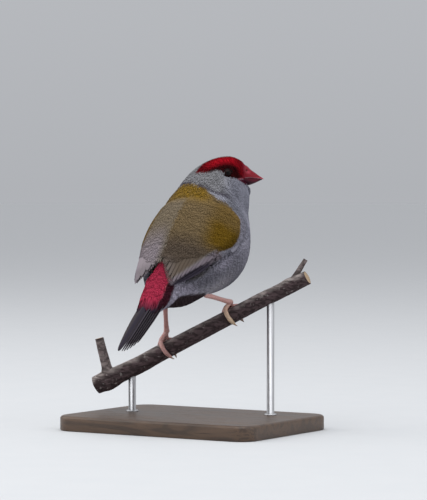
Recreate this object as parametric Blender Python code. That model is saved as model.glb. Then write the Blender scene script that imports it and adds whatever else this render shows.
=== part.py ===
"""Red-browed finch at rest on a short cut perch, held by a plain display stand.

Lengths are in millimetres in the constants and tables below and are turned into metres
where a mesh is made. The bird frame has +Y along the heading of the body, +X to the
bird's right and +Z up, with its origin on the axis of the perch between the feet.
LIFT moves that frame so that the underside of the base lies at z = 0.
"""
import math

import bmesh
import bpy
import numpy as np

# Driving dimensions
UNIT = 0.001
LIFT = np.array([0.0, 8.0, 39.0])
GAP = 0.30
FLESH_BLEND = 6.0
WING_BED = 3.5
AROUND = 40
SOLVER = "MANIFOLD"

BASE_SIZE = (90.0, 64.0, 6.0)
BASE_CENTRE = (0.0, -8.0)
BASE_TOP = -33.0
BASE_CORNER = 7.0
BASE_ROUND = 1.2
ROD_RADIUS = 1.5
ROD_STATIONS = (-30.0, 28.0)
ROD_SINK = 3.0

PERCH_AZIMUTH = 15.0
PERCH_RISE = 0.515
PERCH_ENDS = (-45.0, 43.0)
PERCH_RADII = ((-46.0, 3.60), (-30.0, 3.50), (-12.0, 3.30), (5.0, 3.10), (22.0, 3.02), (44.0, 2.75))

EYE_RADIUS = 1.95
BILL_BASE = (3.05, 3.9)
FACE_END = 74.4
CHIN_REACH = 2.5
WING_DROOP = {"left": 10.0, "right": 0.0}
DROOP_START = -2.5
DROOP_SPAN = 28.0

# Ellipsoids of the flesh: centre, radii to the right, fore and up, yaw and pitch in degrees
ELLIPSOIDS = (
    (0.00, -5.63, 34.24, 20.47, 24.71, 16.52, 0.0, 41.0),
    (-2.01, 4.88, 45.96, 17.19, 14.80, 14.38, 8.0, 50.0),
    (4.06, 10.48, 57.17, 10.65, 6.60, 10.80, 40.0, 40.0),
    (0.06, 8.66, 61.25, 8.30, 12.05, 6.35, 55.0, 22.0),
    (0.00, -17.86, 24.18, 14.00, 13.00, 10.22, 0.0, 55.0),
    (0.16, 1.62, 31.73, 17.09, 16.95, 15.92, 10.0, 40.0),
    (0.00, -34.6, 14.6, 4.90, 7.50, 2.20, 0.0, 41.0),
    (-1.33, 4.39, 57.20, 6.50, 6.29, 4.06, 38.0, 40.0),
)
# Round cones of the flesh: first end and radius, second end and radius
CONES = (
    (0.0, -24.0, 19.4, 8.4, 0.0, -38.0, 12.0, 3.1),
    (6.0, 12.0, 61.4, 6.6, 11.2, 15.5, 60.9, 4.0),
)
# Path of the cross sections: x, y, z, pitch and yaw in degrees
PATH = np.array((
    (0.0, -38.0, 12.3, 41.0, 0.0),
    (0.0, -31.0, 17.0, 43.0, 0.0),
    (0.0, -22.0, 23.5, 45.0, 0.0),
    (0.0, -12.0, 31.5, 45.0, 2.0),
    (0.0, -4.0, 40.0, 43.0, 7.0),
    (0.4, 1.5, 47.0, 40.0, 14.0),
    (1.2, 5.0, 52.0, 37.0, 22.0),
    (2.2, 7.6, 55.8, 33.0, 31.0),
    (3.6, 9.6, 58.8, 29.0, 40.0),
    (5.6, 11.4, 60.6, 25.0, 47.0),
    (8.2, 13.3, 61.3, 21.0, 53.0),
    (11.1, 15.4, 61.3, 16.0, 55.0),
))
# Cuts between the flesh nodes, as lengths along that path
CUTS = (13.0, 46.5, 57.0)
HEAD_YAW = 57.0

# Axis of the wing chart and the edges of a folded wing on it: station along, angle from the back
WING_CENTRE = np.array([0.0, -5.0, 34.0])
WING_PITCH = 50.0
WING_ARC = 18.5
WING_LOW = ((-31.0, 34.0), (-24.0, 49.0), (-19.5, 57.0), (-15.5, 66.0), (-10.0, 73.0), (-5.0, 80.0),
            (0.0, 88.0), (6.0, 95.0), (12.0, 92.0))
WING_UP = ((-30.0, 20.0), (-22.0, 8.0), (-18.0, 5.0), (-10.0, 8.0), (0.0, 14.0), (12.0, 24.0))


def unit(vector):
    """Return a vector of length one."""
    array = np.asarray(vector, float)
    return array / np.linalg.norm(array, axis=-1, keepdims=True)


def frame(yaw, pitch):
    """Return the fore, up and right directions of a yaw and pitch in degrees."""
    a = np.radians(np.asarray(yaw, float))
    b = np.radians(np.asarray(pitch, float))
    fore = np.stack([np.cos(b) * np.sin(a), np.cos(b) * np.cos(a), np.sin(b)], -1)
    up = np.stack([-np.sin(b) * np.sin(a), -np.sin(b) * np.cos(a), np.cos(b)], -1)
    right = np.stack([np.cos(a) + 0 * b, -np.sin(a) + 0 * b, 0 * a + 0 * b], -1)
    return fore, up, right


def smooth(x, low, high):
    """Return a smooth rise from 0 to 1 between two values."""
    s = np.clip((x - low) / (high - low), 0.0, 1.0)
    return s * s * (3.0 - 2.0 * s)


def ellipsoid_distance(local, radii):
    """Return the approximate distance of local points from an ellipsoid."""
    k0 = np.linalg.norm(local / radii, axis=-1) + 1e-9
    k1 = np.linalg.norm(local / radii**2, axis=-1) + 1e-9
    return k0 * (k0 - 1.0) / k1


def blend(first, second, width):
    """Return the smooth minimum of two distances."""
    h = np.maximum(width - np.abs(first - second), 0.0) / width
    return np.minimum(first, second) - h * h * width / 4.0


def plumage_field(points):
    """Return the distance of points from the outer form of the body."""
    result = None
    for cx, cy, cz, side, length, height, yaw, pitch in ELLIPSOIDS:
        fore, up, right = frame(yaw, pitch)
        q = points - np.array([cx, cy, cz])
        local = np.stack([q @ right, q @ fore, q @ up], -1)
        d = ellipsoid_distance(local, np.array([side, length, height]))
        result = d if result is None else blend(result, d, FLESH_BLEND)
    for ax, ay, az, ra, bx, by, bz, rb in CONES:
        a = np.array([ax, ay, az])
        axis = np.array([bx, by, bz]) - a
        h = np.clip(((points - a) @ axis) / (axis @ axis), 0.0, 1.0)
        d = np.linalg.norm(points - a - h[..., None] * axis, axis=-1) - (ra + (rb - ra) * h)
        result = blend(result, d, FLESH_BLEND)
    return result


WING_FORE, WING_NORMAL, WING_RIGHT = frame(0.0, WING_PITCH)


def wing_chart(points):
    """Return the station along the wing axis and the angle from the back in degrees."""
    q = points - WING_CENTRE
    return q @ WING_FORE, np.degrees(np.arctan2(q @ WING_RIGHT, q @ WING_NORMAL))


def edge(table, station):
    """Return an edge of the folded wing at a station."""
    xs, ys = np.array(table).T
    return np.interp(station, xs, ys)


def flesh_field(points):
    """Return the distance from the flesh, which is pressed in under the folded wings."""
    station, angle = wing_chart(points)
    hang = np.clip(DROOP_START - station, 0.0, DROOP_SPAN) / DROOP_SPAN
    angle = np.abs(angle) - np.where(angle < 0.0, WING_DROOP["left"], WING_DROOP["right"]) * hang
    low = edge(WING_LOW, station)
    top = edge(WING_UP, station)
    window = smooth(angle, top - 7.0, top + 3.0) * (1.0 - smooth(angle, low + 2.0, low + 16.0))
    window = window * smooth(station, -27.0, -20.0) * (1.0 - smooth(station, 10.5, 17.0))
    return plumage_field(points) + WING_BED * window


def wing_field(points):
    """Return the distance from the body joined to a half ellipsoid drawn out backwards."""
    q = points - WING_CENTRE
    local = np.stack([q @ WING_RIGHT, q @ WING_FORE, q @ WING_NORMAL], -1)
    length = np.where(local[..., 1] < 0.0, 60.0, 25.0)
    radii = np.stack([np.full(length.shape, 20.2), length, np.full(length.shape, 18.2)], -1)
    return blend(plumage_field(points), ellipsoid_distance(local, radii), 3.0)


def cast(field, start, direction, level, reach=34.0):
    """Return the length along rays at which a field reaches a level."""
    low = np.zeros(np.broadcast_shapes(start.shape, direction.shape)[:-1])
    high = np.full(low.shape, reach)
    for _ in range(24):
        middle = 0.5 * (low + high)
        inside = field(start + middle[..., None] * direction) < level
        low = np.where(inside, middle, low)
        high = np.where(inside, high, middle)
    return 0.5 * (low + high)


def hermite(knots, values, t):
    """Return a smooth curve through values at knots."""
    slopes = np.diff(values, axis=0) / np.diff(knots)[:, None]
    tangents = np.empty_like(values)
    before = np.diff(knots)[:-1, None]
    after = np.diff(knots)[1:, None]
    tangents[1:-1] = (slopes[1:] * before + slopes[:-1] * after) / (before + after)
    tangents[0] = slopes[0]
    tangents[-1] = slopes[-1]
    t = np.clip(t, knots[0], knots[-1])
    i = np.clip(np.searchsorted(knots, t, side="right") - 1, 0, len(knots) - 2)
    h = knots[i + 1] - knots[i]
    s = ((t - knots[i]) / h)[..., None]
    h = h[..., None]
    return (values[i] * (1 + 2 * s) * (1 - s) ** 2 + values[i + 1] * s * s * (3 - 2 * s)
            + h * tangents[i] * s * (1 - s) ** 2 + h * tangents[i + 1] * s * s * (s - 1))


KNOTS = np.concatenate([[0.0], np.cumsum(np.linalg.norm(np.diff(PATH[:, :3], axis=0), axis=1))])


def station(t):
    """Return centre, fore, up and right of the section at a length along the path."""
    value = hermite(KNOTS, PATH, np.asarray(t, float))
    fore, up, right = frame(value[..., 4], value[..., 3])
    return value[..., :3], fore, up, right


def clear_scene():
    """Remove every object and mesh of the start-up scene."""
    for item in list(bpy.data.objects):
        bpy.data.objects.remove(item, do_unlink=True)
    for item in list(bpy.data.meshes):
        bpy.data.meshes.remove(item)


def collection(name):
    """Return a new collection in the scene."""
    group = bpy.data.collections.new(name)
    bpy.context.scene.collection.children.link(group)
    return group


def principled(name, colour, roughness, metallic=0.0, coat=0.0):
    """Return a Principled material."""
    made = bpy.data.materials.new(name)
    made.use_nodes = True
    shader = made.node_tree.nodes["Principled BSDF"]
    shader.inputs["Base Color"].default_value = (*colour, 1.0)
    shader.inputs["Roughness"].default_value = roughness
    shader.inputs["Metallic"].default_value = metallic
    shader.inputs["Coat Weight"].default_value = coat
    made.diffuse_color = (*colour, 1.0)
    return made


def oriented(points, faces):
    """Return the faces turned so that the closed surface has a positive volume."""
    array = np.asarray(points, float)
    total = 0.0
    for face in faces:
        for k in range(1, len(face) - 1):
            a = array[face[0]]
            total += float(np.dot(a, np.cross(array[face[k]], array[face[k + 1]])))
    if total < 0.0:
        return [tuple(reversed(face)) for face in faces]
    return faces


def body(name, points, faces, group, material=None):
    """Return a mesh object from points in millimetres of the bird frame."""
    placed = (np.asarray(points, float).reshape(-1, 3) + LIFT) * UNIT
    mesh = bpy.data.meshes.new(name)
    mesh.from_pydata(placed.tolist(), [], oriented(placed, faces))
    mesh.update()
    made = bpy.data.objects.new(name, mesh)
    group.objects.link(made)
    if material is not None:
        mesh.materials.append(material)
    return made


def ring_faces(rows, around):
    """Return the faces of a closed tube of rings with a fan on a centre point at each end."""
    faces = []
    for i in range(rows - 1):
        for j in range(around):
            k = (j + 1) % around
            faces.append((i * around + j, i * around + k, (i + 1) * around + k, (i + 1) * around + j))
    first = rows * around
    last = first + 1
    for j in range(around):
        k = (j + 1) % around
        faces.append((first, k, j))
        faces.append((last, (rows - 1) * around + j, (rows - 1) * around + k))
    return faces


def loft(name, rings, group, material=None):
    """Return a closed solid through rings of equal length."""
    rings = np.asarray(rings, float)
    rows, around = rings.shape[:2]
    points = np.concatenate([rings.reshape(-1, 3), rings[0].mean(0)[None], rings[-1].mean(0)[None]])
    return body(name, points, ring_faces(rows, around), group, material)


def section_rings(stations, around=AROUND):
    """Return rings of the flesh where planes of the path cut it."""
    stations = np.asarray(stations, float)
    angle = np.linspace(0.0, 2.0 * np.pi, around, endpoint=False)
    centre, _, up, right = station(stations)
    ray = np.cos(angle)[None, :, None] * up[:, None] + np.sin(angle)[None, :, None] * right[:, None]
    reach = cast(flesh_field, centre[:, None], ray, 0.0)
    return centre[:, None] + reach[..., None] * ray


def gap_ring(t, around=AROUND):
    """Return the ring of a plane one gap past the cut at a length along the path."""
    angle = np.linspace(0.0, 2.0 * np.pi, around, endpoint=False)
    centre, fore, up, right = station(np.array([t]))
    centre = centre + GAP * fore
    ray = np.cos(angle)[None, :, None] * up[:, None] + np.sin(angle)[None, :, None] * right[:, None]
    reach = cast(flesh_field, centre[:, None], ray, 0.0)
    return centre[:, None] + reach[..., None] * ray


def modify(target, kind, **settings):
    """Add a modifier and set its values."""
    made = target.modifiers.new(kind.title(), kind)
    for key, value in settings.items():
        setattr(made, key, value)
    return made


def boolean(target, tools, operation, solver="EXACT"):
    """Apply one Boolean of a group of tool bodies to a target."""
    group = collection(f"{target.name}_tools_{operation.lower()}")
    for tool in tools:
        for user in list(tool.users_collection):
            user.objects.unlink(tool)
        group.objects.link(tool)
        tool.hide_render = True
        tool.display_type = "WIRE"
    modify(target, "BOOLEAN", operation=operation, operand_type="COLLECTION", collection=group,
           solver=solver)
    bake(target)
    for tool in tools:
        bpy.data.objects.remove(tool, do_unlink=True)
    bpy.data.collections.remove(group)


def bake(target):
    """Turn the modifiers of a body into its mesh and keep the largest closed surface."""
    graph = bpy.context.evaluated_depsgraph_get()
    fixed = bpy.data.meshes.new_from_object(target.evaluated_get(graph), depsgraph=graph)
    target.modifiers.clear()
    work = bmesh.new()
    work.from_mesh(fixed)
    bmesh.ops.remove_doubles(work, verts=work.verts, dist=0.000001)
    work.verts.ensure_lookup_table()
    left = set(work.verts)
    groups = []
    while left:
        seed = left.pop()
        found = {seed}
        stack = [seed]
        while stack:
            for link in stack.pop().link_edges:
                for other in link.verts:
                    if other in left:
                        left.discard(other)
                        found.add(other)
                        stack.append(other)
        groups.append(found)
    groups.sort(key=len, reverse=True)
    for small in groups[1:]:
        bmesh.ops.delete(work, geom=list(small), context="VERTS")
    work.to_mesh(fixed)
    work.free()
    old = target.data
    target.data = fixed
    bpy.data.meshes.remove(old)


def tube_rings(points, radii, around, start=0.0):
    """Return circular rings that follow a line of points."""
    points = np.asarray(points, float)
    radii = np.broadcast_to(np.asarray(radii, float), (len(points),))
    along = unit(np.gradient(points, axis=0))
    helper = np.array([0.31, -0.47, 0.83])
    side = unit(np.cross(along[0], helper))
    rings = []
    angle = np.linspace(0.0, 2.0 * np.pi, around, endpoint=False) + start
    for point, forward, radius in zip(points, along, radii):
        side = unit(side - forward * np.dot(side, forward))
        other = np.cross(forward, side)
        rings.append(point + radius * (np.cos(angle)[:, None] * side + np.sin(angle)[:, None] * other))
    return np.array(rings)


# Perch

PERCH_SIDE = np.array([-math.sin(math.radians(PERCH_AZIMUTH)), math.cos(math.radians(PERCH_AZIMUTH)), 0.0])
PERCH_STEP = np.array([math.cos(math.radians(PERCH_AZIMUTH)), math.sin(math.radians(PERCH_AZIMUTH)),
                       PERCH_RISE])
PERCH_ALONG = unit(PERCH_STEP)
PERCH_UP = np.cross(PERCH_ALONG, PERCH_SIDE)


def perch_radius(s):
    """Return the mean radius of the perch at a level distance along it."""
    xs, ys = np.array(PERCH_RADII).T
    return np.interp(s, xs, ys)


def perch_axis(s):
    """Return points of the perch axis at level distances along it."""
    s = np.asarray(s, float)
    sway = 0.35 * np.sin(s * 0.11 + 0.6) * smooth(np.abs(s), 18.0, 30.0)
    return s[..., None] * PERCH_STEP + sway[..., None] * PERCH_UP


def on_perch(s, angle, radius):
    """Return points round the perch; the angle runs from its top towards the far side."""
    turn = np.radians(np.asarray(angle, float))
    spoke = np.cos(turn)[..., None] * PERCH_UP + np.sin(turn)[..., None] * PERCH_SIDE
    return perch_axis(s) + np.asarray(radius, float)[..., None] * spoke


def make_perch(group, material):
    """Build the cut length of branch with its two twig stubs."""
    s = np.linspace(PERCH_ENDS[0], PERCH_ENDS[1], 25)
    angle = np.linspace(0.0, 360.0, 16, endpoint=False)
    grid_s, grid_a = np.meshgrid(s, angle, indexing="ij")
    turn = np.radians(grid_a)
    ridge = 0.10 * np.sin(3.0 * turn + 0.09 * grid_s) + 0.07 * np.sin(5.0 * turn - 0.17 * grid_s + 1.0)
    knot = 0.9 * np.exp(-((grid_s + 40.0) / 3.2) ** 2) * (0.55 + 0.45 * np.cos(turn - 3.4))
    knot = knot + 0.5 * np.exp(-((grid_s - 36.0) / 2.6) ** 2) * (0.5 + 0.5 * np.cos(turn - 0.4))
    quiet = 1.0 - 0.85 * np.exp(-((grid_s + 15.3) / 9.0) ** 2) - 0.85 * np.exp(-((grid_s - 12.0) / 9.0) ** 2)
    radius = perch_radius(grid_s) + ridge * np.clip(quiet, 0.1, 1.0) + knot
    perch = loft("perch_branch", on_perch(grid_s, grid_a, radius), group, material)
    left = perch_axis(np.array(-39.6))
    left_way = unit(np.array([-0.16, -0.16, 0.97]))
    left_line = left + np.linspace(0.0, 17.0, 6)[:, None] * left_way
    left_line = left_line + np.array([-0.5, 0.2, 0.0]) * (np.linspace(0.0, 1.0, 6) ** 2)[:, None]
    left_twig = loft("twig_a", tube_rings(left_line, np.linspace(2.15, 1.7, 6), 12), group)
    right = perch_axis(np.array(35.2))
    right_way = unit(np.array([0.42, 0.30, 0.82]))
    right_line = right + np.linspace(0.0, 13.0, 5)[:, None] * right_way
    right_twig = loft("twig_b", tube_rings(right_line, np.linspace(1.35, 0.85, 5), 10), group)
    boolean(perch, [left_twig, right_twig], "UNION")
    return perch


def make_stand(group, wood, metal):
    """Build the base plate and the two rods that carry the perch."""
    half_x = BASE_SIZE[0] / 2.0
    half_y = BASE_SIZE[1] / 2.0
    outline = []
    for cx, cy, start in ((1, 1, 0), (-1, 1, 90), (-1, -1, 180), (1, -1, 270)):
        for step in range(6):
            turn = math.radians(start + 18 * step)
            x = cx * (half_x - BASE_CORNER) + BASE_CORNER * math.cos(turn)
            y = cy * (half_y - BASE_CORNER) + BASE_CORNER * math.sin(turn)
            outline.append((x + BASE_CENTRE[0], y + BASE_CENTRE[1]))
    outline = np.array(outline)
    middle = np.array(BASE_CENTRE)
    bottom = BASE_TOP - BASE_SIZE[2]
    levels = [(bottom, 0.4), (bottom + 0.4, 0.0), (BASE_TOP - BASE_ROUND, 0.0)]
    for step in range(1, 4):
        turn = math.radians(30.0 * step)
        rise = BASE_ROUND * math.sin(turn)
        levels.append((BASE_TOP - BASE_ROUND + rise, BASE_ROUND * (1.0 - math.cos(turn))))
    rings = []
    for z, inset in levels:
        scale = 1.0 - inset / np.array([half_x, half_y])
        flat = middle + (outline - middle) * scale
        rings.append(np.column_stack([flat, np.full(len(flat), z)]))
    base = loft("stand_base", rings, group, wood)
    holes = []
    rods = []
    for label, s in zip(("left", "right"), ROD_STATIONS):
        foot = perch_axis(np.array(s))
        x = foot[0]
        y = foot[1]
        angle = np.linspace(0.0, 2.0 * np.pi, 24, endpoint=False)
        circle = np.column_stack([np.cos(angle), np.sin(angle)])
        low = BASE_TOP - ROD_SINK
        hole = [np.column_stack([circle * (ROD_RADIUS + GAP) + (x, y), np.full(24, z)])
                for z in (low - GAP, BASE_TOP + 2.0)]
        holes.append(loft(f"hole_{label}", hole, group))
        rod = [np.column_stack([circle * ROD_RADIUS + (x, y), np.full(24, z)])
               for z in (low, foot[2])]
        made = loft(f"stand_rod_{label}", rod, group, metal)
        line = perch_axis(np.linspace(s - 8.0, s + 8.0, 9))
        reach = perch_radius(np.linspace(s - 8.0, s + 8.0, 9)) + 0.17 + GAP
        saddle = loft(f"saddle_{label}", tube_rings(line, reach, 32), group)
        boolean(made, [saddle], "DIFFERENCE")
        rods.append(made)
    boolean(base, holes, "DIFFERENCE")
    return [base] + rods


# Flesh

def make_flesh(group, materials):
    """Build the rump, torso and neck as lofts that meet across plane cuts."""
    rump_stations = np.linspace(0.0, CUTS[0], 8)
    rump = loft("rump", section_rings(rump_stations), group, materials["rump"])
    torso_stations = np.linspace(CUTS[0] + 1.6, CUTS[1], 18)
    rings = np.concatenate([gap_ring(CUTS[0]), section_rings(torso_stations)])
    torso = loft("torso", rings, group, materials["torso"])
    boolean(torso, [thigh("left", group), thigh("right", group)], "UNION")
    boolean(torso, [leg_socket("left", group), leg_socket("right", group)], "DIFFERENCE")
    neck_stations = np.linspace(CUTS[1] + 2.2, CUTS[2], 5)
    rings = np.concatenate([gap_ring(CUTS[1]), section_rings(neck_stations)])
    neck = loft("neck", rings, group, materials["neck"])
    return rump, torso, neck


HEAD_FORE, HEAD_UP, HEAD_RIGHT = frame(HEAD_YAW, -4.0)
BILL_ROOT = np.array([9.83, 14.75, 61.9])


def bill_ring(distance, half_width, half_height, drop, around=AROUND):
    """Return an elliptic ring across the bill axis."""
    angle = np.linspace(0.0, 2.0 * np.pi, around, endpoint=False)
    centre = BILL_ROOT + distance * HEAD_FORE + drop * HEAD_UP
    return (centre + half_height * np.cos(angle)[:, None] * HEAD_UP
            + half_width * np.sin(angle)[:, None] * HEAD_RIGHT)


def eye_centre(side):
    """Return the centre of an eyeball on the given side of the head."""
    start = np.array([4.0, 9.9, 62.7])
    ray = unit(side * HEAD_RIGHT + 0.12 * HEAD_FORE + 0.06 * HEAD_UP)
    reach = cast(flesh_field, start, ray, 0.0, 16.0)
    return start + (reach - EYE_RADIUS + 0.45) * ray, ray


def make_head(group, materials):
    """Build the head with its muzzle, eye sockets, lids and the line of the mouth."""
    head_stations = np.linspace(CUTS[2] + 2.1, FACE_END, 10)
    rings = np.concatenate([gap_ring(CUTS[2]), section_rings(head_stations)])
    end = rings[-1]
    root = bill_ring(-GAP, BILL_BASE[0] + 0.36, BILL_BASE[1] + 0.32, 0.0)
    above = np.maximum((root - BILL_ROOT) @ HEAD_UP, 0.0)
    root = root + 0.17 * above[:, None] * HEAD_UP
    turn = np.linspace(0.0, 2.0 * np.pi, AROUND, endpoint=False)
    inward = 0.25 * (1.0 - smooth(-np.cos(turn), 0.20, 0.80))[:, None]
    seat = root - inward * unit(root - root.mean(0))
    crown = smooth(np.cos(turn), 0.30, 0.90)[:, None]
    chin = smooth(-np.cos(turn), 0.20, 0.75)[:, None]
    rim = root + smooth(-np.cos(turn), 0.50, 0.95)[:, None] * (CHIN_REACH * HEAD_FORE + 0.28 * HEAD_UP)
    forward = ((root - end) @ HEAD_FORE)[:, None]
    extra = []
    for share in (0.22, 0.45, 0.70, 0.88):
        lift = (math.sqrt(1.0 - (1.0 - share) ** 2) - share) * (1.0 - 0.55 * crown)
        flat = end + (root - end) * share + forward * lift * HEAD_FORE
        under = section_rings([FACE_END + share * (KNOTS[-1] - FACE_END)])[0]
        extra.append(flat + (under - flat) * chin)
    lip = 0.5 * (extra[-1] + rim) + chin * 0.85 * HEAD_FORE
    head = loft("head", np.concatenate([rings, np.array(extra + [lip, rim, seat])]), group, materials["hood"])
    sockets = []
    eyes = []
    lids = []
    for label, side in (("left", -1.0), ("right", 1.0)):
        centre, ray = eye_centre(side)
        sockets.append(ball(f"socket_{label}", centre, EYE_RADIUS + GAP + 0.03, ray, 18, 11, group))
        eyes.append(ball(f"eye_{label}", centre, EYE_RADIUS, ray, 18, 11, group, materials["eye"]))
        lids.append(lid(f"lid_{label}", centre, ray, group))
    boolean(head, lids, "UNION")
    mouth = []
    for label, side in (("left", -1.0), ("right", 1.0)):
        mouth.append(mouth_groove(f"mouth_{label}", side, group))
    boolean(head, sockets + mouth, "DIFFERENCE")
    return [head] + eyes


def ball(name, centre, radius, pole, around, rows, group, material=None):
    """Return a sphere whose poles lie along a direction."""
    pole = unit(pole)
    side = unit(np.cross(pole, (0.0, 0.0, 1.0)))
    other = np.cross(pole, side)
    angle = np.linspace(0.0, 2.0 * np.pi, around, endpoint=False)
    rings = []
    for step in range(1, rows):
        turn = math.pi * step / rows
        spoke = np.cos(angle)[:, None] * side + np.sin(angle)[:, None] * other
        rings.append(centre - radius * math.cos(turn) * pole + radius * math.sin(turn) * spoke)
    rings = np.array(rings)
    points = np.concatenate([rings.reshape(-1, 3), [centre - radius * pole], [centre + radius * pole]])
    return body(name, points, ring_faces(len(rings), around), group, material)


def lid(name, centre, ray, group):
    """Return the ring of bare lid round an eye."""
    side = unit(np.cross(ray, (0.0, 0.0, 1.0)))
    other = np.cross(ray, side)
    major = 20
    minor = 6
    turn = np.linspace(0.0, 2.0 * np.pi, major, endpoint=False)
    roll = np.linspace(0.0, 2.0 * np.pi, minor, endpoint=False)
    spoke = np.cos(turn)[:, None] * side * 1.08 + np.sin(turn)[:, None] * other
    middle = centre + 1.22 * ray
    points = (middle + (1.98 + 0.40 * np.cos(roll))[None, :, None] * spoke[:, None]
              + (0.40 * np.sin(roll))[None, :, None] * ray)
    faces = []
    for i in range(major):
        for j in range(minor):
            k = (i + 1) % major
            n = (j + 1) % minor
            faces.append((i * minor + j, k * minor + j, k * minor + n, i * minor + n))
    return body(name, points.reshape(-1, 3), faces, group)


def mouth_groove(name, side, group):
    """Return a narrow wedge that marks the line of the mouth on one side of the head."""
    line = []
    for distance, drop in ((-2.5, -1.30), (-1.6, -1.05), (-0.7, -0.88), (0.5, -0.80)):
        start = BILL_ROOT + distance * HEAD_FORE + drop * HEAD_UP
        reach = cast(flesh_field, start, side * HEAD_RIGHT, 0.0, 16.0)
        line.append(start + min(float(reach), 6.0) * side * HEAD_RIGHT)
    line = np.array(line)
    rings = []
    for k, point in enumerate(line):
        half = 0.10 + 0.06 * k
        inward = -side * HEAD_RIGHT
        outward = 1.4 + 0.5 * k
        ring = [point - outward * inward + half * HEAD_UP, point - outward * inward - half * HEAD_UP,
                point + 0.55 * inward - 0.6 * half * HEAD_UP, point + 0.55 * inward + 0.6 * half * HEAD_UP]
        rings.append(ring)
    return loft(name, rings, group)


def half_bill(name, upper, group, material):
    """Return one mandible as a loft of rounded D sections."""
    around = 20
    if upper:
        stations = ((0.0, 2.95, 5.30, 0.0), (1.2, 2.86, 4.55, 0.30), (2.9, 2.44, 2.98, 0.50),
                    (4.7, 1.76, 1.92, 0.48), (6.3, 1.08, 0.95, 0.42), (7.5, 0.52, 0.42, 0.30),
                    (8.25, 0.16, 0.16, 0.12))
    else:
        stations = ((0.0, 2.75, 2.70, 0.0), (1.5, 2.50, 2.80, 0.335), (2.9, 2.12, 2.82, 0.50),
                    (4.4, 1.58, 2.14, 0.483), (5.8, 1.0, 1.37, 0.439), (6.9, 0.48, 0.71, 0.36),
                    (7.6, 0.18, 0.31, 0.276))
    gape = -0.80
    rings = []
    for distance, width, height, drop in stations:
        turn = np.linspace(0.0, math.pi, around // 2 + 1)
        sign = 1.0 if upper else -1.0
        curve = [(width * math.cos(a), sign * (GAP / 2.0 + height * math.sin(a) ** 0.9)) for a in turn]
        flat = [(-width * (1.0 - 2.0 * k / (around // 2)), sign * GAP / 2.0)
                for k in range(1, around // 2)]
        ring = [BILL_ROOT + distance * HEAD_FORE + x * HEAD_RIGHT + (gape + drop + z) * HEAD_UP
                for x, z in curve + flat]
        rings.append(ring)
    return loft(name, rings, group, material)


def make_bill(group, materials):
    """Build the two mandibles, with the nostrils near the root of the upper one."""
    upper = half_bill("bill_upper", True, group, materials["bill_upper"])
    lower = half_bill("bill_lower", False, group, materials["bill_lower"])
    pits = []
    for label, side in (("left", -1.0), ("right", 1.0)):
        start = BILL_ROOT + 1.15 * HEAD_FORE + side * 1.25 * HEAD_RIGHT + 1.75 * HEAD_UP
        way = unit(side * 0.80 * HEAD_RIGHT + 0.60 * HEAD_UP)
        line = start + np.linspace(0.15, 3.5, 3)[:, None] * way
        pits.append(loft(f"nostril_{label}", tube_rings(line, 0.30, 10), group))
    boolean(upper, pits, "DIFFERENCE")
    return upper, lower


# Feathers

VANE_ROWS = ((0.0, 0.80), (0.35, 0.98), (0.66, 1.0), (0.88, 0.80), (1.0, 0.36))


def strip_faces(rows, columns):
    """Return the triangles of a closed slab of two equal grids of points."""
    size = rows * columns
    faces = []
    for i in range(rows - 1):
        for j in range(columns - 1):
            a = i * columns + j
            b = a + 1
            c = a + columns
            d = c + 1
            for tri in ((a, b, d), (a, d, c)):
                faces.append(tri)
                faces.append(tuple(size + v for v in reversed(tri)))
    border = [j for j in range(columns)]
    border += [i * columns + columns - 1 for i in range(1, rows)]
    border += [(rows - 1) * columns + j for j in range(columns - 2, -1, -1)]
    border += [i * columns for i in range(rows - 2, 0, -1)]
    for k, a in enumerate(border):
        b = border[(k + 1) % len(border)]
        faces.append((b, a, size + a))
        faces.append((b, size + a, size + b))
    return faces


def wing_points(side, along, arc, level):
    """Return points of one wing from chart values: station, arc length and level."""
    angle = side * arc / WING_ARC
    centre = WING_CENTRE + along[..., None] * WING_FORE
    ray = np.cos(angle)[..., None] * WING_NORMAL + np.sin(angle)[..., None] * WING_RIGHT
    reach = cast(wing_field, centre, ray, level)
    clear = cast(flesh_field, centre, ray, 0.54)
    return centre, ray, np.maximum(reach, clear)


def wing_vane(name, side, root, tip, half, level, slope, group, bow=0.0, thick=0.52):
    """Return one feather of a wing laid on the chart of the wing.

    Args:
        name: Name of the made body.
        side: 1 for the right wing and -1 for the left one.
        root: Station and arc length of the root.
        tip: Station and arc length of the tip.
        half: Half width at root and near tip.
        level: Levels of the inner face at root, at a third and at the tip.
        slope: Rise of the level across the vane, at root and tip.
        group: Collection for the body.
        bow: Sideways bend of the middle of the line.
        thick: Thickness of the vane.

    Returns:
        The mesh object.
    """
    root = np.array(root, float)
    tip = np.array(tip, float)
    s = np.array([row[0] for row in VANE_ROWS])
    shape = np.array([row[1] for row in VANE_ROWS])
    way = unit(tip - root)
    across = np.array([-way[1], way[0]])
    if across[1] < 0.0:
        across = -across
    line = root + s[:, None] * (tip - root) + (bow * 4.0 * s * (1.0 - s))[:, None] * across
    width = (half[0] + (half[1] - half[0]) * s) * shape
    columns = np.array([-1.0, 0.0, 1.0])
    grid = line[:, None] + (width[:, None] * columns)[..., None] * across
    rise = np.interp(s, [0.0, 0.34, 1.0], level)
    tilt = slope[0] + (slope[1] - slope[0]) * s
    inner = rise[:, None] + tilt[:, None] * width[:, None] * columns
    centre, ray, reach = wing_points(side, grid[..., 0], grid[..., 1], inner)
    depth = np.interp(s, [0.0, 0.8, 1.0], [thick, thick, 0.55 * thick])[:, None]
    low = centre + reach[..., None] * ray
    high = centre + (reach + depth)[..., None] * ray
    points = np.concatenate([low.reshape(-1, 3), high.reshape(-1, 3)])
    return body(name, points, strip_faces(len(s), len(columns)), group)


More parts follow.
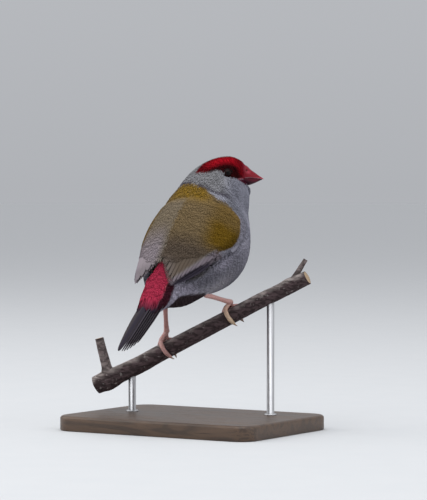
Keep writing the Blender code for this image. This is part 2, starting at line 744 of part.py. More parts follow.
def wing_core(name, side, group, material):
    """Return the solid part of a wing that carries the roots of its feathers."""
    rows = 10
    columns = 8
    s = np.linspace(0.0, 1.0, rows)[:, None]
    w = np.linspace(0.0, 1.0, columns)[None, :]
    along = -9.0 + 19.5 * s + 0.0 * w
    top = edge(WING_UP, along) + 4.0
    low = edge(WING_LOW, along) - 1.5
    angle = top + (low - top) * w
    along = along - 4.0 * s**3 * np.clip((w - 0.5) / 0.5, 0.0, 1.0) ** 2
    along = along - 3.0 * s**3 * np.clip((0.5 - w) / 0.5, 0.0, 1.0) ** 2
    rim = np.maximum(np.abs(2.0 * w - 1.0) ** 5, np.abs(2.0 * s - 1.0) ** 7)
    inner = -2.95 + 0.75 * rim
    outer = -0.75 - 0.95 * rim
    arc = np.radians(angle) * WING_ARC
    centre, ray, near = wing_points(side, along, arc, inner)
    _, _, far = wing_points(side, along, arc, outer)
    far = np.maximum(far, near + 0.45)
    points = np.concatenate([(centre + near[..., None] * ray).reshape(-1, 3),
                             (centre + far[..., None] * ray).reshape(-1, 3)])
    return body(name, points, strip_faces(rows, columns), group, material)


def fan(side, label, roots, tips, level, lift, group, overlap=0.72, bows=None):
    """Return a fan of feathers side by side, each one lying over the next lower one."""
    roots = np.array(roots, float)
    tips = np.array(tips, float)
    made = []
    for k in range(len(roots)):
        near = max(k - 1, 0)
        far = min(k + 1, len(roots) - 1)
        step_root = abs(roots[far][1] - roots[near][1]) / (far - near)
        step_tip = abs(tips[far][1] - tips[near][1]) / (far - near)
        half = (overlap * step_root, overlap * max(step_tip, 0.95))
        slope = (lift / step_root, lift / max(step_tip, 0.95))
        bow = 0.0 if bows is None else float(bows[k])
        made.append(wing_vane(f"{label}_{k}", side, roots[k], tips[k], half, level, slope, group, bow))
    return made


def arc_of(angle):
    """Return the arc length on the wing chart of an angle in degrees."""
    return math.radians(angle) * WING_ARC


def drooped(tips, droop):
    """Return tips on the chart, given as station and degrees, lowered by a share of the droop."""
    return [(along, arc_of(angle + droop * (DROOP_START - along) / DROOP_SPAN)) for along, angle in tips]


def make_wing(label, side, group, material):
    """Build one folded wing: a core with tiers of feathers."""
    core = wing_core(f"wing_{label}", side, group, material)
    droop = WING_DROOP[label]
    vanes = []
    lengths = (-29.8, -29.6, -29.1, -28.3, -27.3, -26.2, -24.9, -23.5, -21.8)
    shares = np.linspace(0.0, 1.0, len(lengths))
    roots = [(-5.0, arc_of(68.0 - 52.0 * share)) for share in shares]
    tips = drooped([(reach, 28.0 - 23.0 * share) for reach, share in zip(lengths, shares)], droop)
    bows = 3.4 * (1.0 - shares) ** 1.5
    vanes += fan(side, f"flight_{label}", roots, tips, (-2.1, -2.35, -2.35), 0.90, group, 0.66, bows)
    roots = [(-2.5, arc_of(a)) for a in (70.0, 61.0, 52.0, 43.0, 33.0, 23.0, 13.5)]
    tips = drooped(((-13.0, 62.5), (-18.0, 54.0), (-22.5, 45.5), (-26.3, 37.5), (-28.9, 29.5), (-26.8, 20.5),
                    (-22.6, 10.0)), droop)
    vanes += fan(side, f"upper_{label}", roots, tips, (-1.45, -0.50, -0.45), 0.84, group, 0.54)
    roots = [(3.6, arc_of(a)) for a in (83.0, 71.5, 60.0, 48.5, 37.0, 25.5)]
    tips = [(-4.4, arc_of(a)) for a in (78.0, 68.0, 57.0, 46.0, 35.0, 24.0)]
    vanes += fan(side, f"median_{label}", roots, tips, (-1.7, -0.90, -0.25), 0.84, group, 0.54)
    roots = [(8.6, arc_of(a)) for a in (80.0, 69.0, 58.0, 47.0)]
    tips = [(1.8, arc_of(a)) for a in (81.0, 70.5, 60.0, 49.5)]
    vanes += fan(side, f"lesser_{label}", roots, tips, (-1.8, -0.90, -0.20), 0.84, group, 0.54)
    boolean(core, vanes, "UNION", SOLVER)
    return core


TAIL_ROOT = np.array([0.0, -34.0, 15.6])
TAIL_FORE = np.array([0.0, math.cos(math.radians(41.0)), math.sin(math.radians(41.0))])
TAIL_UP = np.array([0.0, -math.sin(math.radians(41.0)), math.cos(math.radians(41.0))])


def tail_vane(name, side, pair, group):
    """Return one tail feather; pair 0 is the middle and topmost one."""
    length = (32.3, 31.8, 30.8, 29.4, 27.6, 25.4)[pair]
    s = np.array([0.0, 0.35, 0.72, 0.92, 1.0])
    shape = np.array([0.90, 1.0, 0.97, 0.70, 0.32])
    start = 6.3
    along = start + s * (length - start)
    spread = np.interp(s, [0.0, 0.5, 1.0], [1.06, 1.0, 0.78])
    middle = (1.02 + 0.66 * pair) * spread
    width = 0.88 * shape
    columns = np.array([-1.0, 0.0, 1.0])
    drop = 0.75 - 0.45 * pair + 0.25 * s
    if pair == 0 and side < 0.0:
        middle = middle - 0.62
        drop = drop + 0.62 + 0.70 * s
    x = middle[:, None] + width[:, None] * columns
    height = drop[:, None] + (0.36 / 0.66) * width[:, None] * columns
    depth = np.interp(s, [0.0, 0.8, 1.0], [0.52, 0.52, 0.3])[:, None]
    base = TAIL_ROOT - along[:, None, None] * TAIL_FORE + (side * x)[..., None] * np.array([1.0, 0.0, 0.0])
    low = base + height[..., None] * TAIL_UP
    high = base + (height + depth)[..., None] * TAIL_UP
    points = np.concatenate([low.reshape(-1, 3), high.reshape(-1, 3)])
    return body(name, points, strip_faces(len(s), len(columns)), group)


def make_tail(group, material):
    """Build the tail: a root block with twelve graduated feathers."""
    centre, fore, up, right = station(np.array([0.0]))
    centre = centre[0]
    fore = fore[0]
    up = up[0]
    rings = []
    start = centre - GAP * fore
    for distance, width, high, low in ((0.0, 4.7, 2.0, 2.5), (1.6, 4.9, 1.9, 2.5), (3.2, 4.7, 1.5, 2.3),
                                       (4.6, 4.0, 1.0, 1.9), (5.4, 3.0, 0.5, 1.5)):
        angle = np.linspace(0.0, 2.0 * np.pi, 20, endpoint=False)
        cosine = np.cos(angle)
        tall = np.where(cosine > 0.0, high, low)
        rings.append(start - distance * fore + width * np.sin(angle)[:, None] * right[0]
                     + (tall * cosine)[:, None] * up)
    tail = loft("tail", rings, group, material)
    vanes = []
    for label, side in (("left", -1.0), ("right", 1.0)):
        for pair in range(6):
            vanes.append(tail_vane(f"rectrix_{label}_{pair}", side, pair, group))
    boolean(tail, vanes, "UNION", SOLVER)
    return tail


# Legs

ANKLES = {"left": (-9.2, -13.6, 11.2), "right": (9.3, -12.6, 15.2)}
HIPS = {"left": (-7.0, -9.5, 24.0), "right": (7.5, -8.0, 26.0)}
JOINTS = {"left": (-14.8, -3.95, -0.5), "right": (11.3, 3.0, 11.6)}
TOE_GAP = 0.36
# Toes: level distance of the joint, then stations along and angles round the perch
TOES = {
    "left": (
        ("hallux", (-15.3, -15.2, -15.0, -14.7, -14.4), (-36.0, -60.0, -88.0, -116.0, -142.0), 0.92),
        ("inner", (-13.6, -12.4, -11.4, -10.6), (24.0, 50.0, 76.0, 100.0), 0.80),
        ("middle", (-15.2, -15.0, -14.7, -14.4, -14.1), (24.0, 52.0, 80.0, 108.0, 132.0), 0.86),
        ("outer", (-16.9, -18.3, -19.4, -20.2), (24.0, 52.0, 80.0, 104.0), 0.80),
    ),
    "right": (
        ("hallux", (11.6, 11.6, 11.7, 11.9, 12.1), (-42.0, -64.0, -90.0, -117.0, -142.0), 0.92),
        ("inner", (10.1, 8.9, 8.0, 7.3), (24.0, 50.0, 76.0, 100.0), 0.80),
        ("middle", (11.9, 12.3, 12.8, 13.4, 14.0), (24.0, 54.0, 84.0, 112.0, 136.0), 0.86),
        ("outer", (13.4, 14.9, 16.1, 17.0), (22.0, 46.0, 72.0, 96.0), 0.80),
    ),
}


def bezier(points, count):
    """Return evenly spaced points on a smooth curve through the given ones."""
    points = np.asarray(points, float)
    knots = np.concatenate([[0.0], np.cumsum(np.linalg.norm(np.diff(points, axis=0), axis=1))])
    return hermite(knots, points, np.linspace(0.0, knots[-1], count))


def shank(label, grow=0.0):
    """Return the line and radii of a tarsus from inside the belly down to the foot."""
    ankle = np.array(ANKLES[label])
    joint = np.array(JOINTS[label])
    way = unit(joint - ankle)
    span = joint - 3.0 * way - ankle
    shares = np.array([-0.07, 0.02, 0.14, 0.35, 0.65, 0.90, 1.0])
    line = ankle + shares[:, None] * span
    line[0] = line[0] - grow * way
    radii = np.array([0.90, 1.22, 1.06, 0.92, 0.88, 0.95, 1.02])
    return line, radii + grow


def thigh(label, group):
    """Return the feathered upper leg, which runs from inside the belly to the ankle."""
    ankle = np.array(ANKLES[label])
    way = unit(np.array(HIPS[label]) - ankle)
    line = ankle + np.array([0.3, 0.8, 1.8, 3.6, 6.6, 9.5])[:, None] * way
    return loft(f"thigh_{label}", tube_rings(line, [1.9, 2.2, 2.6, 3.2, 3.8, 4.2], 14), group)


def leg_socket(label, group):
    """Return the hollow that a tarsus leaves in the plumage."""
    line, radii = shank(label, GAP + 0.05)
    return loft(f"socket_{label}", tube_rings(line, radii, 16), group)


def make_leg(label, group, materials):
    """Build the tarsus, the foot with its four toes and the claws of one leg."""
    joint = np.array(JOINTS[label])
    line, radii = shank(label)
    end = line[-1]
    way = unit(joint - end)
    tarsus = loft(f"tarsus_{label}", tube_rings(line, radii, 14), group, materials["leg"])
    start = end + GAP * way
    toes = []
    claws = []
    knuckle = np.array([start, start + 0.55 * (joint - start), joint, joint + 0.35 * way])
    knuckle = tube_rings(knuckle, np.array([1.02, 1.12, 1.25, 0.80]), 12)
    foot = loft(f"foot_{label}", knuckle, group, materials["foot"])
    for name, stations, angles, radius in TOES[label]:
        stations = np.array(stations)
        angles = np.array(angles)
        reach = perch_radius(stations) + TOE_GAP + radius
        path = np.concatenate([[joint - 0.25 * way], on_perch(stations, angles, reach)])
        count = 8
        curve = bezier(path, count)
        clear = clear_perch(curve, radius + TOE_GAP)
        taper = np.interp(np.linspace(0.0, 1.0, count), [0.0, 0.75, 1.0], [radius, radius, 0.62])
        toes.append(loft(f"toe_{label}_{name}", tube_rings(clear, taper, 8), group))
        end = clear[-1]
        forward = unit(clear[-1] - clear[-2])
        outward = perch_spoke(end)
        hook = []
        for share in np.linspace(0.0, 1.0, 5):
            bend = forward * (2.5 * share) - outward * (0.55 * share**2)
            hook.append(end + forward * GAP + bend)
        hook = clear_perch(np.array(hook), np.array([0.95, 0.92, 0.86, 0.78, 0.70]))
        claw_radii = np.array([0.58, 0.50, 0.38, 0.24, 0.10])
        claws.append(loft(f"claw_{label}_{name}", tube_rings(hook, claw_radii, 8), group, materials["claw"]))
    boolean(foot, toes, "UNION")
    return [tarsus, foot] + claws


def perch_spoke(point):
    """Return the direction from the perch axis to a point."""
    s = float(np.dot(point, PERCH_ALONG)) * float(PERCH_ALONG @ PERCH_STEP) / float(PERCH_STEP @ PERCH_STEP)
    flat = point - perch_axis(np.array(s))
    flat = flat - PERCH_ALONG * float(flat @ PERCH_ALONG)
    return unit(flat)


def clear_perch(points, distance):
    """Push points out until they keep a distance from the bark."""
    points = np.array(points, float)
    distance = np.broadcast_to(np.asarray(distance, float), (len(points),))
    for k, point in enumerate(points):
        s = float(point @ PERCH_STEP) / float(PERCH_STEP @ PERCH_STEP)
        flat = point - perch_axis(np.array(s))
        flat = flat - PERCH_ALONG * float(flat @ PERCH_ALONG)
        reach = float(np.linalg.norm(flat))
        need = float(perch_radius(s)) + float(distance[k])
        if reach < need:
            points[k] = point + flat / reach * (need - reach)
    return points


def make_materials():
    """Return the materials of the parts by name."""
    return {
        "hood": principled("grey_hood", (0.26, 0.26, 0.29), 0.85),
        "neck": principled("grey_neck", (0.27, 0.27, 0.30), 0.85),
        "torso": principled("olive_body", (0.20, 0.17, 0.11), 0.85),
        "rump": principled("crimson_rump", (0.42, 0.03, 0.05), 0.80),
        "wing_left": principled("olive_wing_left", (0.19, 0.15, 0.09), 0.80),
        "wing_right": principled("olive_wing_right", (0.19, 0.15, 0.09), 0.80),
        "tail": principled("slate_tail", (0.05, 0.045, 0.055), 0.75),
        "bill_upper": principled("red_bill_upper", (0.45, 0.02, 0.04), 0.35, coat=0.3),
        "bill_lower": principled("red_bill_lower", (0.30, 0.015, 0.04), 0.35, coat=0.3),
        "eye": principled("dark_eye", (0.03, 0.01, 0.01), 0.08, coat=0.8),
        "leg": principled("pink_leg", (0.48, 0.24, 0.20), 0.55),
        "foot": principled("pink_foot", (0.50, 0.27, 0.21), 0.55),
        "claw": principled("horn_claw", (0.35, 0.22, 0.16), 0.45),
        "bark": principled("brown_bark", (0.09, 0.06, 0.06), 0.90),
        "wood": principled("dark_base", (0.06, 0.045, 0.04), 0.50),
        "metal": principled("steel_rod", (0.55, 0.55, 0.56), 0.35, metallic=1.0),
    }


def main():
    """Build every part of the model."""
    clear_scene()
    group = collection("red_browed_finch")
    materials = make_materials()
    make_flesh(group, materials)
    make_head(group, materials)
    make_bill(group, materials)
    make_tail(group, materials["tail"])
    make_wing("left", -1.0, group, materials["wing_left"])
    make_wing("right", 1.0, group, materials["wing_right"])
    make_leg("left", group, materials)
    make_leg("right", group, materials)
    make_perch(group, materials["bark"])
    make_stand(group, materials["wood"], materials["metal"])


main()
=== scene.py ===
"""Looks of a red-browed finch at rest on a cut perch, held by a plain display stand.

Lengths are in millimetres of the bird frame until a mesh is made: +Y along the heading of the
body, +X to the bird's right and +Z up, with the origin on the axis of the perch between the feet.
"""
import logging
import math
from dataclasses import dataclass, field
from enum import Enum
from typing import Callable, Optional, Sequence, Union

import bpy
import numpy as np
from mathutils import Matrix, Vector

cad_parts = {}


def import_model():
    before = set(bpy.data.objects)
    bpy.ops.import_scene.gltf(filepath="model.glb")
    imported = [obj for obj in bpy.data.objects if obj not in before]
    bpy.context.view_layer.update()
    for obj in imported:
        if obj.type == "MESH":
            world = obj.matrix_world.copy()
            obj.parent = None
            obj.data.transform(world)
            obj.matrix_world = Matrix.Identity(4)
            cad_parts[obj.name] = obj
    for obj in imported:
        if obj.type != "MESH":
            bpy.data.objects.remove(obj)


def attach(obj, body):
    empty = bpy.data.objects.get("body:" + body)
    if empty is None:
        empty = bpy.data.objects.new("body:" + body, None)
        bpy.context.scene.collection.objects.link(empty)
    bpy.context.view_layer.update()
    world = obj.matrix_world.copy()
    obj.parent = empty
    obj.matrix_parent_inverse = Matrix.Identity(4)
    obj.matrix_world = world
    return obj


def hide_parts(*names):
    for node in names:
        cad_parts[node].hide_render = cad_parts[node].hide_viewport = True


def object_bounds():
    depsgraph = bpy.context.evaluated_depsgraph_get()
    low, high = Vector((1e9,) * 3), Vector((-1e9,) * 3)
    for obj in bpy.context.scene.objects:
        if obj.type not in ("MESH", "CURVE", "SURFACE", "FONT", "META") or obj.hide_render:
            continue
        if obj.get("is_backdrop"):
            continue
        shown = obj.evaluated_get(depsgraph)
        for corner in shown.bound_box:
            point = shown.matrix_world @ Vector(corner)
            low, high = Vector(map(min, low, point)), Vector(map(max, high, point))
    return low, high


LOG = logging.getLogger("finch")
Array = np.ndarray
UNIT = 0.001
TUFT_CORNERS = 10
BAKE_PATCH = 0.003
FULL_TURN = 6.28318
LIFT = np.array([0.0, 8.0, 39.0])
BODY = "root"


class Side(Enum):
    """The two sides of the bird."""
    LEFT = -1.0
    RIGHT = 1.0

    @property
    def label(self) -> str:
        """Return the side's word in piece names."""
        return self.name.lower()


class Tone(Enum):
    """Colours of the plumage and bare parts, as linear reflectances."""
    NAPE = (0.233, 0.229, 0.241)
    CROWN = (0.230, 0.230, 0.235)
    CHEEK = (0.245, 0.245, 0.290)
    BREAST = (0.310, 0.298, 0.355)
    FLANK = (0.160, 0.155, 0.186)
    BELLY = (0.340, 0.325, 0.365)
    OLIVE = (0.168, 0.117, 0.058)
    DUSTY = (0.200, 0.172, 0.136)
    GOLD = (0.232, 0.135, 0.013)
    AMBER = (0.145, 0.082, 0.008)
    UMBER = (0.088, 0.065, 0.047)
    MAUVE = (0.185, 0.155, 0.152)
    STRIP = (0.150, 0.124, 0.142)
    SLATE = (0.025, 0.020, 0.031)
    EDGE = (0.158, 0.139, 0.138)
    CRIMSON = (0.430, 0.032, 0.072)
    BROW = (0.210, 0.002, 0.007)
    # Painted highlight along the ridge of the red brow.
    ARC = (0.380, 0.003, 0.011)
    CHIN = (0.060, 0.004, 0.014)
    # Painted highlight along the gape.
    GAPE = (0.420, 0.060, 0.080)
    LORE = (0.018, 0.0008, 0.0015)
    # Painted shade: the vent and undertail darkened as they lie in shade under the body.
    VENT = (0.034, 0.023, 0.026)
    # Dark band along the rump's side: dark coverts, partly painted shade below the wing tip.
    DUSK = (0.040, 0.008, 0.014)
    SIDE_STRIP = (0.330, 0.305, 0.372)

    @property
    def rgb(self) -> Array:
        """Return the colour as an array."""
        return np.array(self.value)


# Numbers and curves

def unit(vector: Array) -> Array:
    """Return vectors of length one."""
    array = np.asarray(vector, float)
    return array / np.maximum(np.linalg.norm(array, axis=-1, keepdims=True), 1e-12)


def axes(yaw: Array, pitch: Array) -> tuple[Array, Array, Array]:
    """Return the fore, up and right directions of a yaw and pitch in degrees."""
    a = np.radians(np.asarray(yaw, float))
    b = np.radians(np.asarray(pitch, float))
    fore = np.stack([np.cos(b) * np.sin(a), np.cos(b) * np.cos(a), np.sin(b)], -1)
    up = np.stack([-np.sin(b) * np.sin(a), -np.sin(b) * np.cos(a), np.cos(b)], -1)
    right = np.stack([np.cos(a) + 0 * b, -np.sin(a) + 0 * b, 0 * a + 0 * b], -1)
    return fore, up, right


def smooth(x: Array, low: float, high: float) -> Array:
    """Return a smooth rise from 0 at one value to 1 at another."""
    s = np.clip((x - low) / (high - low), 0.0, 1.0)
    return s * s * (3.0 - 2.0 * s)


def fall(x: Array, low: float, high: float) -> Array:
    """Return a smooth fall from 1 at one value to 0 at another."""
    return 1.0 - smooth(x, low, high)


def lerp(a: Array, b: Array, w: Array) -> Array:
    """Return colours or points between two, by a weight that lacks their last axis."""
    return a + (b - a) * np.asarray(w)[..., None]


def hermite(knots: Array, values: Array, t: Array) -> Array:
    """Return a smooth curve through values at knots: cubic pieces whose slopes are weighted means."""
    slopes = np.diff(values, axis=0) / np.diff(knots)[:, None]
    tangents = np.empty_like(values)
    before = np.diff(knots)[:-1, None]
    after = np.diff(knots)[1:, None]
    tangents[1:-1] = (slopes[1:] * before + slopes[:-1] * after) / (before + after)
    tangents[0] = slopes[0]
    tangents[-1] = slopes[-1]
    t = np.clip(t, knots[0], knots[-1])
    i = np.clip(np.searchsorted(knots, t, side="right") - 1, 0, len(knots) - 2)
    h = (knots[i + 1] - knots[i])[..., None]
    s = (t - knots[i])[..., None] / h
    return (values[i] * (1 + 2 * s) * (1 - s) ** 2 + values[i + 1] * s * s * (3 - 2 * s)
            + h * tangents[i] * s * (1 - s) ** 2 + h * tangents[i + 1] * s * s * (s - 1))


def through(points: Sequence, count: int) -> Array:
    """Return evenly spaced points on a smooth curve through the given ones."""
    array = np.asarray(points, float)
    knots = np.concatenate([[0.0], np.cumsum(np.linalg.norm(np.diff(array, axis=0), axis=1))])
    return hermite(knots, array, np.linspace(0.0, knots[-1], count))


def waves(points: Array, scale: float, seed: int, count: int = 7) -> Array:
    """Return a smooth seeded relief from -1 to 1: a mean of sines along random directions."""
    draw = np.random.default_rng(seed)
    way = unit(draw.normal(size=(count, 3))) * draw.uniform(0.6, 1.7, (count, 1)) / scale
    phase = draw.uniform(0.0, 2.0 * np.pi, count)
    return np.sin(points @ way.T * 2.0 * np.pi + phase).mean(-1) * 1.6


# Meshes

def make_piece(name: str, points: Array, faces: Sequence[Array], material: bpy.types.Material,
               replaces: Sequence[str] = (), slot: Optional[str] = None,
               tint: Optional[Array] = None, maps: Optional[dict[str, Array]] = None) -> bpy.types.Object:
    """Make a mesh object of the model and tie it to the frame.

    Args:
        name: Name of the piece.
        points: Points in millimetres of the bird frame.
        faces: Index arrays of four or three columns, closed and turned alike.
        material: Finish of the piece.
        replaces: CAD nodes that the piece stands for.
        slot: Material slot of the record; not used.
        tint: Colour of each point, stored as the attribute Tint.
        maps: Texture maps by name, as two numbers a point.

    Returns:
        The object, at the origin, with its place in its mesh.
    """
    placed = (np.asarray(points, float).reshape(-1, 3) + LIFT) * UNIT
    faces = [np.asarray(f, np.int64) for f in faces if len(f)]
    volume = 0.0
    for part in faces:
        for k in range(1, part.shape[1] - 1):
            a, b, c = placed[part[:, 0]], placed[part[:, k]], placed[part[:, k + 1]]
            volume += float(np.einsum("ij,ij->i", a, np.cross(b, c)).sum())
    if volume < 0.0:
        faces = [part[:, ::-1] for part in faces]
    corners = np.concatenate([part.reshape(-1) for part in faces])
    sizes = np.concatenate([np.full(len(part), part.shape[1]) for part in faces])
    starts = np.concatenate([[0], np.cumsum(sizes)[:-1]])
    mesh = bpy.data.meshes.new(name)
    mesh.vertices.add(len(placed))
    mesh.vertices.foreach_set("co", placed.astype(np.float32).reshape(-1))
    mesh.loops.add(len(corners))
    mesh.loops.foreach_set("vertex_index", corners.astype(np.int32))
    mesh.polygons.add(len(sizes))
    mesh.polygons.foreach_set("loop_start", starts.astype(np.int32))
    mesh.polygons.foreach_set("use_smooth", np.ones(len(sizes), bool))
    mesh.update(calc_edges=True)
    mesh.validate()
    if tint is not None:
        colour = np.ones((len(placed), 4), np.float32)
        colour[:, :3] = np.clip(np.asarray(tint, float).reshape(-1, 3), 0.0, 1.0)
        layer = mesh.attributes.new("Tint", "FLOAT_COLOR", "POINT")
        layer.data.foreach_set("color", colour.reshape(-1))
    for key, values in (maps or {}).items():
        layer = mesh.uv_layers.new(name=key)
        order = np.empty(len(mesh.loops), np.int32)
        mesh.loops.foreach_get("vertex_index", order)
        chosen = np.asarray(values, np.float32).reshape(-1, 2)[order]
        layer.uv.foreach_set("vector", chosen.reshape(-1))
    mesh.materials.append(material)
    made = bpy.data.objects.new(name, mesh)
    bpy.context.scene.collection.objects.link(made)
    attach(made, BODY)
    if replaces:
        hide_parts(*replaces)
    LOG.info("%s: %d faces", name, len(sizes))
    return made


def tube_faces(rows: int, around: int) -> list[Array]:
    """Return the faces of a closed tube of rings with a centre point at each end."""
    i, j = np.meshgrid(np.arange(rows - 1), np.arange(around), indexing="ij")
    k = (j + 1) % around
    quads = np.stack([i * around + j, i * around + k, (i + 1) * around + k, (i + 1) * around + j], -1)
    ring = np.arange(around)
    after = (ring + 1) % around
    first = rows * around
    last = first + 1
    caps = np.concatenate([
        np.stack([np.full(around, first), after, ring], -1),
        np.stack([np.full(around, last), (rows - 1) * around + ring, (rows - 1) * around + after], -1)])
    return [quads.reshape(-1, 4), caps]


def tube_points(rings: Array) -> Array:
    """Return the points of a tube of rings followed by the centre point of each end."""
    return np.concatenate([rings.reshape(-1, 3), rings[0].mean(0)[None], rings[-1].mean(0)[None]])


def tube(rings: Array) -> tuple[Array, list[Array]]:
    """Return the points and faces of a closed tube of rings."""
    return tube_points(rings), tube_faces(*rings.shape[:2])


def joined(parts: Sequence[tuple[Array, list[Array]]]) -> tuple[Array, list[Array]]:
    """Return several closed shapes as one list of points and faces."""
    points: list[Array] = []
    quads: list[Array] = []
    tris: list[Array] = []
    base = 0
    for shape, faces in parts:
        shape = np.asarray(shape, float).reshape(-1, 3)
        points.append(shape)
        for part in faces:
            (quads if part.shape[1] == 4 else tris).append(part + base)
        base += len(shape)
    faces = [np.concatenate(group) for group in (quads, tris) if group]
    return np.concatenate(points), faces


def sweep(line: Array, radii: Array, around: int, relief: Optional[Callable] = None,
          helper: Sequence[float] = (0.31, -0.47, 0.83)) -> Array:
    """Carry a round profile along a line.

    Args:
        line: Points of the line.
        radii: Radius at each point.
        around: Points round the profile.
        relief: Function of (row share, angle) that gives an added radius.
        helper: Direction that fixes where the angle starts.

    Returns:
        Rings of points: line + (radius + relief) * (cos side + sin other), with side kept square to the line.
    """
    line = np.asarray(line, float)
    along = unit(np.gradient(line, axis=0))
    side = np.cross(along, np.asarray(helper, float))
    side = unit(side)
    other = np.cross(along, side)
    angle = np.linspace(0.0, 2.0 * np.pi, around, endpoint=False)
    radius = np.broadcast_to(np.asarray(radii, float), (len(line),))[:, None] + np.zeros(around)
    if relief is not None:
        share = np.linspace(0.0, 1.0, len(line))[:, None]
        radius = radius + relief(share, angle[None, :])
    ring = (np.cos(angle)[None, :, None] * side[:, None] + np.sin(angle)[None, :, None] * other[:, None])
    return line[:, None] + radius[..., None] * ring


def slab_faces(rows: int, columns: int) -> Array:
    """Return the triangles of a closed slab of two equal grids of points."""
    size = rows * columns
    i, j = np.meshgrid(np.arange(rows - 1), np.arange(columns - 1), indexing="ij")
    a = (i * columns + j).reshape(-1)
    low = np.concatenate([np.stack([a, a + 1, a + columns + 1], -1),
                          np.stack([a, a + columns + 1, a + columns], -1)])
    high = size + low[:, ::-1]
    border = np.concatenate([np.arange(columns), np.arange(1, rows) * columns + columns - 1,
                             (rows - 1) * columns + np.arange(columns - 2, -1, -1),
                             np.arange(rows - 2, 0, -1) * columns])
    after = np.roll(border, -1)
    rim = np.concatenate([np.stack([after, border, size + border], -1),
                          np.stack([after, size + border, size + after], -1)])
    return np.concatenate([low, high, rim])


# Shader maths

Value = Union[float, Sequence[float], "Sock"]


class Sock:
    """A socket whose operators add Math nodes to its tree."""

    def __init__(self, shader: "Shader", socket: bpy.types.NodeSocket) -> None:
        """Keep the shader and the wrapped socket."""
        self.shader = shader
        self.socket = socket

    def math(self, operation: str, *others: Value, swap: bool = False) -> "Sock":
        """Return a Math node of this socket and others."""
        terms = [self, *others]
        if swap:
            terms = [*others, self]
        made = self.shader.node("ShaderNodeMath", {"operation": operation}, dict(enumerate(terms)))
        return Sock(self.shader, made.outputs[0])

    def __add__(self, other: Value) -> "Sock":
        """Return the sum."""
        return self.math("ADD", other)

    __radd__ = __add__

    def __mul__(self, other: Value) -> "Sock":
        """Return the product."""
        return self.math("MULTIPLY", other)

    __rmul__ = __mul__

    def __sub__(self, other: Value) -> "Sock":
        """Return the difference."""
        return self.math("SUBTRACT", other)

    def __rsub__(self, other: Value) -> "Sock":
        """Return the difference taken from a number."""
        return self.math("SUBTRACT", other, swap=True)

    def band(self, low: float, high: float) -> "Sock":
        """Return a smooth rise from 0 to 1 between two values."""
        values = {"Value": self, "From Min": low, "From Max": high, "To Min": 0.0, "To Max": 1.0}
        made = self.shader.node("ShaderNodeMapRange", {"interpolation_type": "SMOOTHSTEP"}, values)
        return Sock(self.shader, made.outputs[0])


